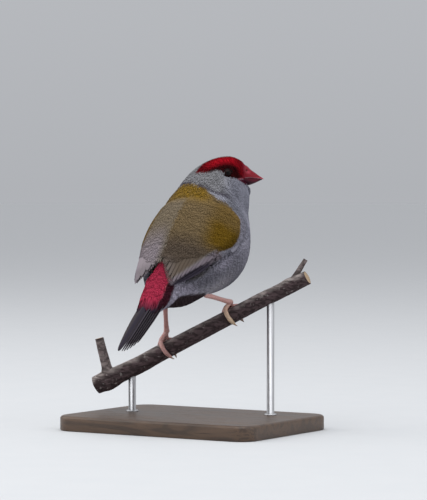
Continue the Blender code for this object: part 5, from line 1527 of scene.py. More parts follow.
@dataclass
class Tail:
    """Twelve graduated tail feathers, the middle pair uppermost."""
    vane: Vane = field(default_factory=lambda: Vane(rows=22, columns=7, thick=0.20, tip=2.8))
    root: tuple = (0.0, -34.0, 15.6)
    pitch: float = 41.0
    lengths: tuple = (32.3, 31.8, 30.8, 29.4, 27.6, 25.4)

    def make(self, finish: bpy.types.Material) -> None:
        """Make the tail: each vane lies at its pair's distance from the middle and below the pair above."""
        fore = np.array([0.0, math.cos(math.radians(self.pitch)), math.sin(math.radians(self.pitch))])
        up = np.array([0.0, -math.sin(math.radians(self.pitch)), math.cos(math.radians(self.pitch))])
        right = np.array([1.0, 0.0, 0.0])
        s, columns, shape = self.vane.outline()
        shapes, tints = [], []
        draw = np.random.default_rng(60)
        for side in Side:
            for pair, length in enumerate(self.lengths):
                start = 1.0
                along = start + s * (length - start)
                spread = np.interp(s, [0.0, 0.5, 1.0], [1.06, 1.0, 0.80])
                middle = (1.02 + 0.66 * pair) * spread
                drop = 0.75 - 0.45 * pair + 0.25 * s
                if pair == 0 and side is Side.LEFT:
                    middle = middle - 0.62
                    drop = drop + 0.30 + 0.55 * s
                width = 1.02 * shape
                x = middle[:, None] + width[:, None] * columns
                height = drop[:, None] + 0.50 * width[:, None] * columns + 0.16 * (1.0 - columns**2)
                base = (np.array(self.root) - along[:, None, None] * fore
                        + (side.value * x)[..., None] * right)
                depth = self.vane.thick * np.clip(1.2 - 0.6 * np.abs(columns) - 0.3 * s[:, None], 0.3, 1.0)
                low = base + height[..., None] * up
                high = base + (height + depth)[..., None] * up
                shapes.append((np.concatenate([low.reshape(-1, 3), high.reshape(-1, 3)]),
                               [slab_faces(self.vane.rows, self.vane.columns)]))
                edge = smooth(np.abs(columns), 0.55, 1.0)[None, :] + 0.0 * s[:, None]
                slate = np.broadcast_to(Tone.SLATE.rgb, (*edge.shape, 3))
                tone = lerp(slate, Tone.MAUVE.rgb * 0.34, edge * 0.75)
                tone = tone * draw.uniform(0.88, 1.16)
                tints.append(np.concatenate([tone.reshape(-1, 3)] * 2))
        points, faces = joined(shapes)
        maps = {"Vane": np.concatenate([self.vane.maps()] * len(shapes))}
        make_piece("tail_feathers", points, faces, finish, ("tail",), "tail", np.concatenate(tints), maps)


# Bill and eyes

@dataclass
class Bill:
    """The two mandibles with nostrils."""
    form: Form
    gap: float = 0.04
    gape: float = -0.80
    around: int = 64
    rows: int = 60
    upper_stations: tuple = ((0.0, 2.95, 5.42, 0.0), (1.2, 2.86, 4.67, 0.30), (2.9, 2.44, 3.10, 0.50),
                             (4.7, 1.76, 2.04, 0.48), (6.3, 1.08, 1.07, 0.42), (7.5, 0.52, 0.54, 0.30),
                             (8.25, 0.16, 0.24, 0.12))
    lower_stations: tuple = ((0.0, 2.75, 2.82, 0.0), (1.2, 2.58, 2.90, 0.30), (2.9, 2.12, 2.94, 0.50),
                             (4.7, 1.48, 2.12, 0.48), (6.3, 0.78, 1.20, 0.42), (7.5, 0.22, 0.42, 0.30),
                             (7.7, 0.14, 0.32, 0.26))

    def half(self, upper: bool) -> tuple[Array, Array]:
        """Return the rings of one mandible and their (share along, angle) chart.

        Each ring is a flat cutting edge and an arch: x = w cos a, z = h sin a to a power below one.
        """
        table = np.array(self.upper_stations if upper else self.lower_stations)
        reach = 1.0 - (1.0 - np.linspace(0.0, 1.0, self.rows)) ** 1.5
        value = hermite(table[:, 0], table, reach * table[-1, 0])
        distance, width, height, drop = value.T[:, :, None]
        sign = 1.0 if upper else -1.0
        arch = np.linspace(0.0, np.pi, self.around * 3 // 4)[None, :]
        keel = np.exp(-((arch - np.pi / 2.0) / 0.20) ** 2)
        lip = np.exp(-(np.minimum(arch, np.pi - arch) / 0.22) ** 2)
        x = width * np.cos(arch) * (1.0 + 0.03 * lip)
        z = sign * (self.gap / 2.0 + height * np.sin(arch) ** 0.9 * (1.0 + 0.02 * keel))
        flat = np.linspace(-1.0, 1.0, self.around - arch.shape[1] + 2)[None, 1:-1]
        x = np.concatenate([x, width * flat], 1)
        hollow = 0.10 * np.minimum(height, 0.6) * (1.0 - flat**2)
        z = np.concatenate([z, sign * (self.gap / 2.0 + hollow)], 1)
        form = self.form
        rings = (form.bill + distance[..., None] * form.head_fore + x[..., None] * form.head_right
                 + (self.gape + drop + z)[..., None] * form.head_up)
        return rings, np.broadcast_to(reach[:, None], x.shape)

    def make(self, finish: bpy.types.Material) -> None:
        """Make both mandibles."""
        form = self.form
        for upper in (True, False):
            rings, share = self.half(upper)
            place = (rings - form.bill) @ np.stack([form.head_right, form.head_fore, form.head_up], 1)
            side = np.abs(place[..., 0])
            if upper:
                pit = (place - np.array([0.0, 1.15, 2.35])) * np.array([0.0, 1.0, 1.25])
                pit = np.linalg.norm(pit, axis=-1)
                sunk = fall(pit, 0.16, 0.42)
                inward = np.sign(place[..., 0]) * sunk * 0.45 * (side > 0.6)
                rings = rings - inward[..., None] * form.head_right
                red = np.array([0.185, 0.006, 0.014])
                rose = np.array([0.46, 0.055, 0.088])
                # Painted highlights: a rose line along the cutting edge and a glint on the side of the upper
                # mandible.
                edge = place[..., 2] - self.gape - 0.07 * place[..., 1]
                colour = lerp(np.broadcast_to(red, rings.shape), rose, fall(edge, 0.15, 0.75) * 0.42)
                glint = np.exp(-((place[..., 2] - 1.7) / 0.5) ** 2 - ((place[..., 1] - 1.9) / 0.8) ** 2)
                colour = lerp(colour, rose, 0.6 * glint)
                black = fall(side, 0.25, 0.75) * smooth(place[..., 2], 0.2, 1.2) * fall(share, 0.55, 0.9)
                colour = lerp(colour, np.array([0.05, 0.012, 0.015]), 0.75 * black)
                colour = lerp(colour, np.array([0.03, 0.004, 0.006]), sunk)
            else:
                red = np.array([0.030, 0.002, 0.009])
                colour = lerp(np.broadcast_to(red, rings.shape), np.array([0.110, 0.006, 0.017]),
                              smooth(place[..., 2] + 0.15 * place[..., 1], -2.0, -0.6) * 0.8)
                colour = lerp(colour, np.array([0.02, 0.006, 0.016]), fall(side, 0.2, 0.9) * 0.7)
            tint = tube_points(colour)
            name = "bill_upper" if upper else "bill_lower"
            make_piece(f"{name}_horn", *tube(rings), finish, (name,), "bill", tint)


@dataclass
class Eyes:
    """Eyeballs and their bare lids."""
    form: Form
    rows: int = 40
    around: int = 48

    def ball(self, centre: Array, ray: Array) -> tuple[Array, Array]:
        """Return the rings of a sphere with its pole along a ray, and the angle from the pole."""
        side = unit(np.cross(ray, (0.0, 0.0, 1.0)))
        other = np.cross(ray, side)
        polar = np.linspace(0.02, np.pi - 0.02, self.rows)[:, None]
        round_angle = np.linspace(0.0, 2.0 * np.pi, self.around, endpoint=False)[None, :]
        radius = self.form.eye_radius
        bulge = radius + 0.10 * np.exp(-(polar / 0.55) ** 2)
        spoke = np.cos(round_angle)[..., None] * side + np.sin(round_angle)[..., None] * other
        rings = (centre + (bulge * np.cos(polar))[..., None] * ray
                 + (radius * np.sin(polar))[..., None] * spoke)
        return rings, np.broadcast_to(polar, rings.shape[:2])

    def lid(self, centre: Array, ray: Array) -> tuple[Array, Array]:
        """Return a ring of small beads round the eye, longer along the head, with a notch at its corners."""
        side = unit(self.form.head_fore - (self.form.head_fore @ ray) * ray)
        other = np.cross(ray, side)
        turn = np.linspace(0.0, 2.0 * np.pi, 96, endpoint=False)[:, None]
        roll = np.linspace(0.0, 2.0 * np.pi, 16, endpoint=False)[None, :]
        bead = 1.0 + 0.10 * np.cos(turn * 26.0)
        corner = np.abs(np.cos(turn)) ** 10
        minor = 0.23 * bead * (1.0 - 0.30 * corner)
        major = 1.66 + 0.16 * corner
        spoke = np.cos(turn)[..., None] * side * 1.06 + np.sin(turn)[..., None] * other * 0.97
        middle = centre + (1.06 - 0.12 * corner)[..., None] * ray
        rings = (middle + (major + minor * np.cos(roll))[..., None] * spoke
                 + (minor * 1.05 * np.sin(roll))[..., None] * ray)
        i, j = np.meshgrid(np.arange(96), np.arange(16), indexing="ij")
        k, n = (i + 1) % 96, (j + 1) % 16
        faces = np.stack([i * 16 + j, k * 16 + j, k * 16 + n, i * 16 + n], -1).reshape(-1, 4)
        return rings, faces

    def make(self, eye: bpy.types.Material, lid: bpy.types.Material) -> None:
        """Make both eyes."""
        for side in Side:
            centre, ray = self.form.eye(side)
            rings, polar = self.ball(centre, ray)
            iris = smooth(polar, 0.40, 0.50) * fall(polar, 0.84, 0.98)
            colour = lerp(np.broadcast_to(np.array([0.002, 0.0015, 0.0015]), rings.shape),
                          np.array([0.010, 0.0015, 0.0015]), iris)
            tint = tube_points(colour)
            make_piece(f"eyeball_{side.label}", *tube(rings), eye,
                       (f"eye_{side.label}",), "eye", tint)
            rings, faces = self.lid(centre, ray)
            tone = np.broadcast_to(np.array([0.005, 0.0010, 0.0013]), rings.shape)
            make_piece(f"lid_{side.label}", rings, [faces], lid, (), "hood", tone)


# Perch

@dataclass
class Perch:
    """A cut length of branch with two twig stubs."""
    azimuth: float = 15.0
    slope: float = 0.515
    ends: tuple = (-45.0, 43.0)
    radii: tuple = ((-46.0, 3.60), (-30.0, 3.50), (-12.0, 3.30), (5.0, 3.10), (22.0, 3.02), (44.0, 2.75))

    def __post_init__(self) -> None:
        """Work out the directions."""
        a = math.radians(self.azimuth)
        self.across = np.array([-math.sin(a), math.cos(a), 0.0])
        self.step = np.array([math.cos(a), math.sin(a), self.slope])
        self.along = unit(self.step)
        self.up = np.cross(self.along, self.across)

    def radius(self, s: Array) -> Array:
        """Return the mean radius at level distances."""
        xs, ys = np.array(self.radii).T
        return np.interp(s, xs, ys)

    def axis(self, s: Array) -> Array:
        """Return points of the axis at level distances."""
        s = np.asarray(s, float)
        sway = 0.35 * np.sin(s * 0.11 + 0.6) * smooth(np.abs(s), 18.0, 30.0)
        return s[..., None] * self.step + sway[..., None] * self.up

    def around(self, s: Array, angle: Array, radius: Array) -> Array:
        """Return points round the branch; the angle runs from its top towards the far side."""
        turn = np.radians(np.asarray(angle, float))
        spoke = np.cos(turn)[..., None] * self.up + np.sin(turn)[..., None] * self.across
        return self.axis(s) + np.asarray(radius, float)[..., None] * spoke

    def clear(self, points: Array, distance: Array) -> Array:
        """Return points pushed out until they keep a distance from the bark."""
        s = (points @ self.step) / (self.step @ self.step)
        flat = points - self.axis(s)
        flat = flat - (flat @ self.along)[:, None] * self.along
        reach = np.linalg.norm(flat, axis=-1)
        need = self.radius(s) + distance
        push = np.maximum(need - reach, 0.0) / np.maximum(reach, 1e-6)
        return points + flat * push[:, None]

    def bark(self, points: Array, s: Array, turn: Array) -> Array:
        """Return the relief of the bark: long ridges that wander, and small plates."""
        ridge = 0.10 * np.sin(3.0 * turn + 0.09 * s) + 0.07 * np.sin(5.0 * turn - 0.17 * s + 1.0)
        drift = 1.5 * waves(points, 14.0, 71)
        fine = 0.075 * np.sin(17.0 * turn + 3.0 * drift + 0.12 * s) * (0.6 + 0.4 * waves(points, 5.0, 72))
        plates = 0.05 * waves(points * np.array([1.0, 1.6, 1.6]), 1.7, 73)
        return ridge + fine + plates

    def make(self, bark: bpy.types.Material, wood: bpy.types.Material) -> None:
        """Make the branch, its stubs and the cut faces."""
        s = np.linspace(self.ends[0], self.ends[1], 420)[:, None] + np.zeros(110)
        angle = np.linspace(0.0, 360.0, 110, endpoint=False)[None, :] + 0.0 * s
        turn = np.radians(angle)
        plain = self.around(s, angle, self.radius(s))
        quiet = 1.0 - 0.85 * np.exp(-((s + 15.3) / 9.0) ** 2) - 0.85 * np.exp(-((s - 12.0) / 9.0) ** 2)
        relief = self.bark(plain, s, turn) * np.clip(quiet, 0.25, 1.0)
        knot = 0.9 * np.exp(-((s + 40.0) / 3.2) ** 2) * (0.55 + 0.45 * np.cos(turn - 3.4))
        knot = knot + 0.5 * np.exp(-((s - 36.0) / 2.6) ** 2) * (0.5 + 0.5 * np.cos(turn - 0.4))
        collar = 0.35 * np.exp(-((s + 39.6) / 2.6) ** 2)
        collar = collar * np.exp(-(np.minimum(turn, 2 * np.pi - turn) / 0.9) ** 2)
        radius = self.radius(s) + relief + knot + collar
        rings = self.around(s, angle, radius)
        shapes = [tube(rings)]
        dark = np.array([0.060, 0.040, 0.042])
        pale = np.array([0.270, 0.230, 0.215])
        # Painted highlight: the bark is pale along its top, more so towards both ends.
        lit = smooth(np.cos(turn) + 0.25 * waves(plain, 9.0, 75) + 0.18 * waves(plain, 3.0, 76), 0.15, 0.95)
        level = self.axis(s[:, 0])[:, 0]
        band = np.clip(0.42 + 0.5 * smooth(-level, 15.0, 27.0) + 0.5 * smooth(level, 12.0, 22.0), 0.0, 1.0)
        colour = lerp(np.broadcast_to(dark, rings.shape), pale, lit * band[:, None])
        tints = [tube_points(colour)]
        for line, radii in self.twigs():
            twig = sweep(line, radii, 40, lambda share, a: 0.05 * np.sin(5.0 * a + 9.0 * share)
                         + 0.03 * np.sin(11.0 * a - 14.0 * share))
            shapes.append(tube(twig))
            tone = lerp(np.broadcast_to(dark, twig.shape), pale, 0.35 + 0.3 * waves(twig, 3.0, 77))
            tints.append(tube_points(tone))
        points, faces = joined(shapes)
        make_piece("bark", points, faces, bark, ("perch_branch",), "bark", np.concatenate(tints))
        self.cut_faces(rings, wood)

    def twigs(self) -> list[tuple[Array, Array]]:
        """Return line and radii of the two stubs."""
        left = self.axis(np.array(-39.6))
        way = unit(np.array([-0.16, -0.16, 0.97]))
        share = np.linspace(0.0, 1.0, 60)
        first = left + 17.0 * share[:, None] * way + np.array([-0.5, 0.2, 0.0]) * share[:, None] ** 2
        right = self.axis(np.array(35.2))
        way = unit(np.array([0.42, 0.30, 0.82]))
        second = right + 13.0 * share[:, None] * way
        return [(first, 2.15 - 0.45 * share + 0.5 * np.exp(-((share - 0.18) / 0.09) ** 2)),
                (second, 1.35 - 0.5 * share + 0.4 * np.exp(-((share - 0.22) / 0.08) ** 2))]

    def cut_faces(self, rings: Array, wood: bpy.types.Material) -> None:
        """Make a thin disc of cut wood on each end of the branch and stubs."""
        shapes, maps = [], []
        ends = [(rings[0], -self.along), (rings[-1], self.along)]
        for line, radii in self.twigs():
            twig = sweep(line, radii, 110)
            ends.append((twig[-1], unit(line[-1] - line[-2])))
        for ring, way in ends:
            centre = ring.mean(0)
            share = np.array([0.0, 0.35, 0.65, 0.90, 0.97])[::-1]
            disc = centre + share[:, None, None] * (ring - centre)[None]
            top = disc + (0.05 * way)[None, None]
            below = centre + 0.97 * (ring - centre) - 0.1 * way
            stack = np.concatenate([below[None], top[:-1]])
            points = np.concatenate([stack.reshape(-1, 3), below.mean(0)[None], top[-1].mean(0)[None]])
            shapes.append((points, tube_faces(len(stack), ring.shape[0])))
            angle = np.linspace(0.0, 2.0 * np.pi, ring.shape[0], endpoint=False)
            radial = np.concatenate([[0.97], share[:-1]])
            flat = radial[:, None, None] * np.stack([np.cos(angle), np.sin(angle)], -1)[None]
            maps.append(np.concatenate([flat.reshape(-1, 2), np.zeros((2, 2))]))
        points, faces = joined(shapes)
        make_piece("cut_faces", points, faces, wood, (), "bark", None, {"Rings": np.concatenate(maps)})


# Legs

@dataclass
class Legs:
    """Thighs, shanks, toes and claws that hold the perch."""
    perch: Perch

    ANKLES = {"left": (-9.2, -13.6, 11.2), "right": (9.3, -12.6, 15.2)}
    HIPS = {"left": (-7.0, -9.5, 24.0), "right": (7.5, -8.0, 26.0)}
    JOINTS = {"left": (-14.8, -3.95, -0.5), "right": (11.3, 3.0, 11.6)}
    # stations along and angles round the perch of each toe, and its radius
    TOES = {
        "left": (
            ("hallux", (-15.3, -15.2, -15.0, -14.7, -14.4), (-36.0, -60.0, -88.0, -116.0, -142.0), 0.92),
            ("inner", (-13.6, -12.4, -11.4, -10.6), (24.0, 50.0, 76.0, 100.0), 0.80),
            ("middle", (-15.2, -15.0, -14.7, -14.4, -14.1), (24.0, 52.0, 80.0, 108.0, 132.0), 0.86),
            ("outer", (-16.9, -18.3, -19.4, -20.2), (24.0, 52.0, 80.0, 104.0), 0.80)),
        "right": (
            ("hallux", (11.6, 11.6, 11.7, 11.9, 12.1), (-42.0, -64.0, -90.0, -117.0, -142.0), 0.92),
            ("inner", (10.1, 8.9, 8.0, 7.3), (24.0, 50.0, 76.0, 100.0), 0.80),
            ("middle", (11.9, 12.3, 12.8, 13.4, 14.0), (24.0, 54.0, 84.0, 112.0, 136.0), 0.86),
            ("outer", (13.4, 14.9, 16.1, 17.0), (22.0, 46.0, 72.0, 96.0), 0.80)),
    }

    @classmethod
    def thigh_line(cls, side: Side) -> tuple[Array, Array]:
        """Return line and radii of the feathered thigh, from the ankle into the belly."""
        ankle = np.array(cls.ANKLES[side.label])
        way = unit(np.array(cls.HIPS[side.label]) - ankle)
        distance = np.linspace(0.3, 9.5, 26)
        line = ankle + distance[:, None] * way
        return line, np.interp(distance, [0.3, 0.8, 1.8, 3.6, 6.6, 9.5], [1.6, 2.1, 2.6, 3.2, 3.8, 4.2])

    @classmethod
    def thigh_shape(cls, side: Side, grow: float) -> tuple[Array, list[Array]]:
        """Return the closed shape of a thigh made thicker or thinner."""
        line, radii = cls.thigh_line(side)
        rings = sweep(line, radii + grow, 36)
        return tube(rings)

    def thigh_coat(self, finish: bpy.types.Material, belly: Array) -> None:
        """Grow the small feathers of the thighs, which point down to the ankle."""
        shapes, tints, charts = [], [], []
        draw = np.random.default_rng(81)
        for side in Side:
            line, radii = self.thigh_line(side)
            rings = sweep(line, radii, 60)
            patch = Patch(rings, lambda p: p - line[:, None], True)
            row, column = patch.scatter(np.full(rings.shape[:2], 0.8), draw)
            keep = row < 22.0
            row, column = row[keep], column[keep]
            tufts = Tufts(3.0, 2.0, rise=0.7, thick=0.12)
            points, faces, along, owner, _ = tufts.grow(patch, row, column, np.ones(len(row)),
                                                     np.full(len(row), 0.5), np.zeros(len(row)), draw)
            shapes.append((points.reshape(-1, 3), [faces]))
            tone = belly * draw.normal(1.0, 0.05, (len(row), 1))
            # Painted shade: each thigh tuft is darker at its root, under the feathers that lie over it.
            tint = tone[owner][:, None, :] * (0.74 + 0.36 * along)[None, :, None]
            tints.append(tint.reshape(-1, 3))
            place = np.stack([np.mod(column / 60.0, 1.0) * 0.45 + (0.5 if side is Side.RIGHT else 0.0),
                              row / 26.0], -1)
            charts.append(bake_map(place, owner, along).reshape(-1, 2))
        points, faces = joined(shapes)
        make_piece("coat_thighs", points, faces, finish, (), "hood", np.concatenate(tints),
                   {"OFBake": np.concatenate(charts)})

    def shank(self, side: Side) -> tuple[Array, Array]:
        """Return line and radii of the bare shank."""
        ankle = np.array(self.ANKLES[side.label])
        joint = np.array(self.JOINTS[side.label])
        way = unit(joint - ankle)
        share = np.linspace(-0.07, 1.0, 120)
        line = ankle + share[:, None] * (joint - 2.4 * way - ankle)
        radii = np.interp(share, [-0.07, 0.02, 0.14, 0.35, 0.65, 0.90, 1.0],
                          [0.9, 1.16, 1.02, 0.88, 0.84, 0.92, 1.0])
        return line, radii

    @staticmethod
    def scutes(count: float, depth: float) -> Callable:
        """Return a relief of plates across the front and fine grains behind."""
        def relief(share: Array, angle: Array) -> Array:
            """Return the added radius: a saw along the length that fades round the back."""
            saw = np.mod(share * count, 1.0)
            front = smooth(np.cos(angle), -0.2, 0.5)
            plate = smooth(saw, 0.0, 0.16) - 0.8 * saw
            grain = 0.25 * depth * (1.0 - front) * np.sin(angle * 9.0 + share * count * 9.0)
            return depth * front * plate + grain
        return relief

    def toe(self, side: Side, stations: tuple, angles: tuple, radius: float) -> tuple[Array, Array]:
        """Return line and radii of one toe, bent round the bark, with pads under its joints."""
        joint = np.array(self.JOINTS[side.label])
        ankle = np.array(self.ANKLES[side.label])
        way = unit(joint - ankle)
        stations = np.array(stations)
        reach = self.perch.radius(stations) + 0.16 + radius
        path = np.concatenate([[joint - 0.25 * way], self.perch.around(stations, np.array(angles), reach)])
        curve = through(path, 70)
        share = np.linspace(0.0, 1.0, 70)
        radii = np.interp(share, [0.0, 0.12, 0.8, 1.0],
                          [radius * 1.02, radius * 0.92, radius * 0.86, radius * 0.68])
        pad = sum(np.exp(-((share - centre) / 0.07) ** 2) for centre in (0.30, 0.56, 0.80))
        radii = radii * (1.0 + 0.10 * pad)
        return self.perch.clear(curve, radii + 0.12), radii

    def make(self, skin: bpy.types.Material, horn: bpy.types.Material) -> None:
        """Make shanks, feet and claws."""
        pink = np.array([0.56, 0.30, 0.27])
        cream = np.array([0.52, 0.38, 0.24])
        rose = np.array([0.56, 0.24, 0.22])
        for side in Side:
            line, radii = self.shank(side)
            ahead = -unit(np.array(self.HIPS[side.label]) - np.array(self.ANKLES[side.label]))
            rings = sweep(line, radii, 36, self.scutes(9.0, 0.13), ahead)
            # The far left leg is darker, as painted shade.
            tone = pink if side is Side.RIGHT else lerp(pink, rose, 0.5) * 0.8
            tint = np.broadcast_to(tone, (rings[..., 0].size + 2, 3))
            make_piece(f"shank_{side.label}", *tube(rings), skin,
                       (f"tarsus_{side.label}",), "leg", tint)
            self.foot(side, skin, horn, pink, cream, rose)

    def foot(self, side: Side, skin: bpy.types.Material, horn: bpy.types.Material,
             pink: Array, cream: Array, rose: Array) -> None:
        """Make one foot with its claws."""
        label = side.label
        joint = np.array(self.JOINTS[label])
        line, _ = self.shank(side)
        way = unit(joint - line[-1])
        knuckle = through([line[-1] - 0.3 * way, line[-1] + 0.55 * (joint - line[-1]), joint,
                           joint + 0.7 * way], 30)
        radii = np.interp(np.linspace(0.0, 1.0, 30), [0.0, 0.3, 0.7, 0.92, 1.0], [0.98, 1.06, 1.2, 0.9, 0.35])
        rings = sweep(knuckle, radii, 36, self.scutes(3.0, 0.08))
        shapes = [tube(rings)]
        # The left foot is darker, as painted shade.
        tints = [np.broadcast_to(pink if side is Side.RIGHT else pink * 0.85, (rings[..., 0].size + 2, 3))]
        claws, nodes, claw_tints = [], [], []
        for name, stations, angles, radius in self.TOES[label]:
            curve, radii = self.toe(side, stations, angles, radius)
            spoke = unit(curve[35] - self.perch.axis(np.array(float(np.mean(stations)))))
            rings = sweep(curve, radii, 28, self.scutes(11.0, 0.10),
                          np.cross(unit(curve[-1] - curve[0]), spoke))
            rings = self.outwards(curve, rings)
            shapes.append(tube(rings))
            # Left toes are darker, as painted shade.
            tone = pink * 0.8
            if side is Side.RIGHT:
                tone = cream if name == "hallux" else rose
            base = lerp(np.broadcast_to(pink, rings.shape), tone,
                        np.linspace(0.0, 1.0, len(rings))[:, None] ** 0.6)
            tints.append(tube_points(base))
            rings, tint = self.claw(curve)
            claws.append(tube(rings))
            claw_tints.append(tint)
            nodes.append(f"claw_{label}_{name}")
        points, faces = joined(shapes)
        make_piece(f"toes_{label}", points, faces, skin, (f"foot_{label}",), "leg", np.concatenate(tints))
        points, faces = joined(claws)
        make_piece(f"claws_{label}", points, faces, horn, nodes, "claw", np.concatenate(claw_tints))

    def outwards(self, curve: Array, rings: Array) -> Array:
        """Return toe rings pressed a little flat against the bark."""
        s = (curve @ self.perch.step) / (self.perch.step @ self.perch.step)
        spoke = curve - self.perch.axis(s)
        spoke = unit(spoke - (spoke @ self.perch.along)[:, None] * self.perch.along)
        off = rings - curve[:, None]
        inward = np.minimum(np.einsum("ijk,ik->ij", off, spoke), 0.0)
        return rings - 0.12 * inward[..., None] * spoke[:, None]

    def claw(self, curve: Array) -> tuple[Array, Array]:
        """Return the rings and colours of a claw: a cone bent towards the bark that starts inside the toe."""
        end = curve[-1]
        forward = unit(curve[-1] - curve[-3])
        s = np.array(float(end @ self.perch.step / (self.perch.step @ self.perch.step)))
        outward = end - self.perch.axis(s)
        outward = unit(outward - (outward @ self.perch.along) * self.perch.along)
        share = np.linspace(0.0, 1.0, 28)
        hook = end + forward * (-0.5 + 3.2 * share)[:, None] - outward * (0.75 * share**2)[:, None]
        radii = 0.53 * (1.0 - share**1.15) + 0.035
        hook = self.perch.clear(hook, radii + 0.10)
        rings = sweep(hook, radii, 20)
        dark = np.array([0.20, 0.12, 0.09])
        pale = np.array([0.42, 0.29, 0.21])
        colour = lerp(np.broadcast_to(pale, rings.shape), dark, share[:, None] ** 1.3 + np.zeros(20))
        tint = tube_points(colour)
        return rings, tint


# Stand and studio

@dataclass
class Stand:
    """Base plate and two rods."""
    perch: Perch
    size: tuple = (90.0, 64.0, 6.0)
    centre: tuple = (0.0, -8.0)
    top: float = -33.0
    corner: float = 7.0
    round_edge: float = 1.2
    rod_radius: float = 1.5
    stations: tuple = (("left", -30.0), ("right", 28.0))

    def make(self, wood: bpy.types.Material, metal: bpy.types.Material) -> None:
        """Make the base as stacked rounded outlines, and each rod with a chamfered collar at its foot."""
        half = np.array(self.size[:2]) / 2.0
        turn = np.radians(np.concatenate([start + np.linspace(0.0, 90.0, 17) for start in (0, 90, 180, 270)]))
        sign = np.repeat(np.array([(1, 1), (-1, 1), (-1, -1), (1, -1)], float), 17, axis=0)
        outline = sign * (half - self.corner) + self.corner * np.stack([np.cos(turn), np.sin(turn)], -1)
        bottom = self.top - self.size[2]
        roll = np.linspace(0.0, np.pi / 2.0, 12)
        z = np.concatenate([[bottom, bottom + 0.4],
                            self.top - self.round_edge + self.round_edge * np.sin(roll)])
        inset = np.concatenate([[0.4, 0.0], self.round_edge * (1.0 - np.cos(roll))])
        z = np.concatenate([z, np.full(6, self.top)])
        inset = np.concatenate([inset, np.linspace(2.0, 30.0, 6)])
        scale = 1.0 - inset[:, None] / half
        flat = np.array(self.centre) + outline[None] * scale[:, None]
        rings = np.concatenate([flat, np.broadcast_to(z[:, None, None], (*flat.shape[:2], 1))], -1)
        make_piece("base_plate", *tube(rings), wood, ("stand_base",), "base_wood")
        for label, station in self.stations:
            foot = self.perch.axis(np.array(station))
            low = self.top - 0.02
            high = foot[2] - float(self.perch.radius(np.array(station))) * 0.80
            heights = np.array([low, low + 0.35, low + 0.6, low + 0.62, low + 0.65, high - 0.1, high])
            radii = np.array([2.5, 2.5, 2.25, 1.75, self.rod_radius, self.rod_radius, self.rod_radius - 0.1])
            angle = np.linspace(0.0, 2.0 * np.pi, 48, endpoint=False)
            x = foot[0] + radii[:, None] * np.cos(angle)
            y = foot[1] + radii[:, None] * np.sin(angle)
            rings = np.stack([x, y, np.broadcast_to(heights[:, None], x.shape)], -1)
            make_piece(f"rod_{label}", *tube(rings), metal,
                       (f"stand_rod_{label}",), "rod")


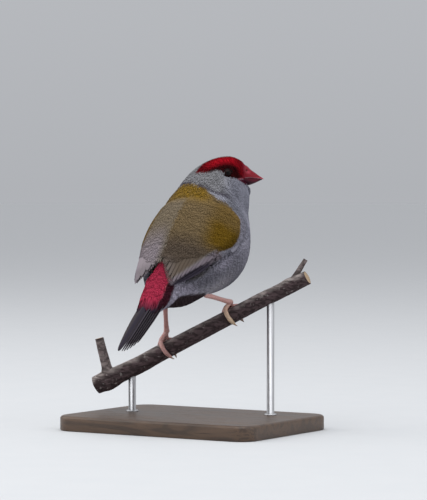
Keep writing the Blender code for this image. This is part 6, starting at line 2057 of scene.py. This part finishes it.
@dataclass
class Studio:
    """Camera at the photograph's angle, soft light and a pale floor."""
    azimuth: float = 32.0
    elevation: float = 1.5
    distance: float = 1.0
    aim: tuple = (0.0036, 0.0102, 0.0714)
    height: float = 0.200

    def area(self, name: str, azimuth: float, elevation: float, distance: float, size: float,
             power: float, colour: tuple) -> None:
        """Add a soft square light that faces the bird."""
        light = bpy.data.lights.new(name, "AREA")
        light.size = size
        light.energy = power
        light.color = colour
        self.set_up(bpy.data.objects.new(name, light), azimuth, elevation, distance)

    def set_up(self, made: bpy.types.Object, azimuth: float, elevation: float, distance: float) -> None:
        """Place a camera or light where it looks back at the bird."""
        a, e = math.radians(azimuth), math.radians(elevation)
        way = np.array([math.sin(a) * math.cos(e), -math.cos(a) * math.cos(e), math.sin(e)])
        made.location = np.array(self.aim) + way * distance
        made.rotation_mode = "QUATERNION"
        made.rotation_quaternion = Vector((-way).tolist()).to_track_quat("-Z", "Y")
        bpy.context.scene.collection.objects.link(made)

    def make(self, floor: bpy.types.Material) -> None:
        """Make camera, lights, world and floor."""
        data = bpy.data.cameras.new("camera")
        data.sensor_width = 36.0
        data.lens = 36.0 * self.distance / self.height
        data.clip_start = 0.01
        data.clip_end = 100.0
        camera = bpy.data.objects.new("camera", data)
        self.set_up(camera, self.azimuth, self.elevation, self.distance)
        bpy.context.scene.camera = camera
        self.area("sky_light", 20.0, 72.0, 1.1, 1.3, 9.0, (0.96, 0.98, 1.0))
        self.area("side_light", -62.0, 24.0, 1.2, 0.9, 5.0, (1.0, 0.99, 0.97))
        self.area("fill_light", 95.0, 18.0, 1.3, 1.0, 3.0, (0.95, 0.97, 1.0))
        world = bpy.data.worlds.new("studio")
        world.use_nodes = True
        tree = world.node_tree
        coordinate = tree.nodes.new("ShaderNodeTexCoord")
        split = tree.nodes.new("ShaderNodeSeparateXYZ")
        ramp = tree.nodes.new("ShaderNodeValToRGB")
        ramp.color_ramp.elements[0].color = (0.543, 0.559, 0.591, 1.0)
        ramp.color_ramp.elements[1].color = (0.90, 0.92, 0.96, 1.0)
        ramp.color_ramp.elements[1].position = 0.6
        tree.links.new(coordinate.outputs["Generated"], split.inputs[0])
        tree.links.new(split.outputs[2], ramp.inputs[0])
        tree.links.new(ramp.outputs[0], tree.nodes["Background"].inputs["Color"])
        tree.nodes["Background"].inputs["Strength"].default_value = 0.80
        bpy.context.scene.world = world
        bpy.context.scene.view_settings.view_transform = "Standard"
        angle = np.linspace(0.0, 2.0 * np.pi, 96, endpoint=False)
        disc = np.stack([12.0 * np.cos(angle), 12.0 * np.sin(angle), np.zeros(96)], -1)
        mesh = bpy.data.meshes.new("floor")
        mesh.from_pydata(disc.tolist(), [], [tuple(range(96))])
        mesh.materials.append(floor)
        made = bpy.data.objects.new("floor", mesh)
        bpy.context.scene.collection.objects.link(made)
        made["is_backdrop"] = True


def corners() -> list[list[float]]:
    """Return the lowest and highest corner of what is shown."""
    bpy.context.view_layer.update()
    return [list(corner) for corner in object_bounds()]


def main() -> None:
    """Build the looks of the finch in order."""
    logging.basicConfig(level=logging.INFO, format="%(message)s")
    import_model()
    sizes = {"cad": corners()}
    form = Form()
    marks = Markings(form)
    perch = Perch()
    Studio().make(FloorFinish().make())
    finishes = {"plume": PlumeFinish("soft_plumage").make(), "vane": VaneFinish("flight_vanes").make()}
    body = Body(form, marks)
    body.skin(PlumeFinish("downy_skin", mottle=0.15).make())
    body.coat(finishes)
    for side in Side:
        Wing(form, marks, side).make(finishes)
    Tail().make(finishes["vane"])
    Bill(form).make(HornFinish("bill_horn", 0.32, 0.10, 0.22, (1.0, 1.0, 0.35)).make())
    Eyes(form).make(EyeFinish().make(), HornFinish("lid_skin", 0.80, 0.0, 0.3).make())
    legs = Legs(perch)
    legs.thigh_coat(finishes["plume"], Tone.BELLY.rgb)
    legs.make(LegFinish().make(), HornFinish("claw_horn", 0.38, 0.2, 0.25, (1.0, 1.0, 0.5)).make())
    perch.make(BarkFinish().make(), CutWoodFinish().make())
    Stand(perch).make(BaseFinish().make(), RodFinish().make())
    sizes["visual"] = corners()


if __name__ == "__main__":
    main()
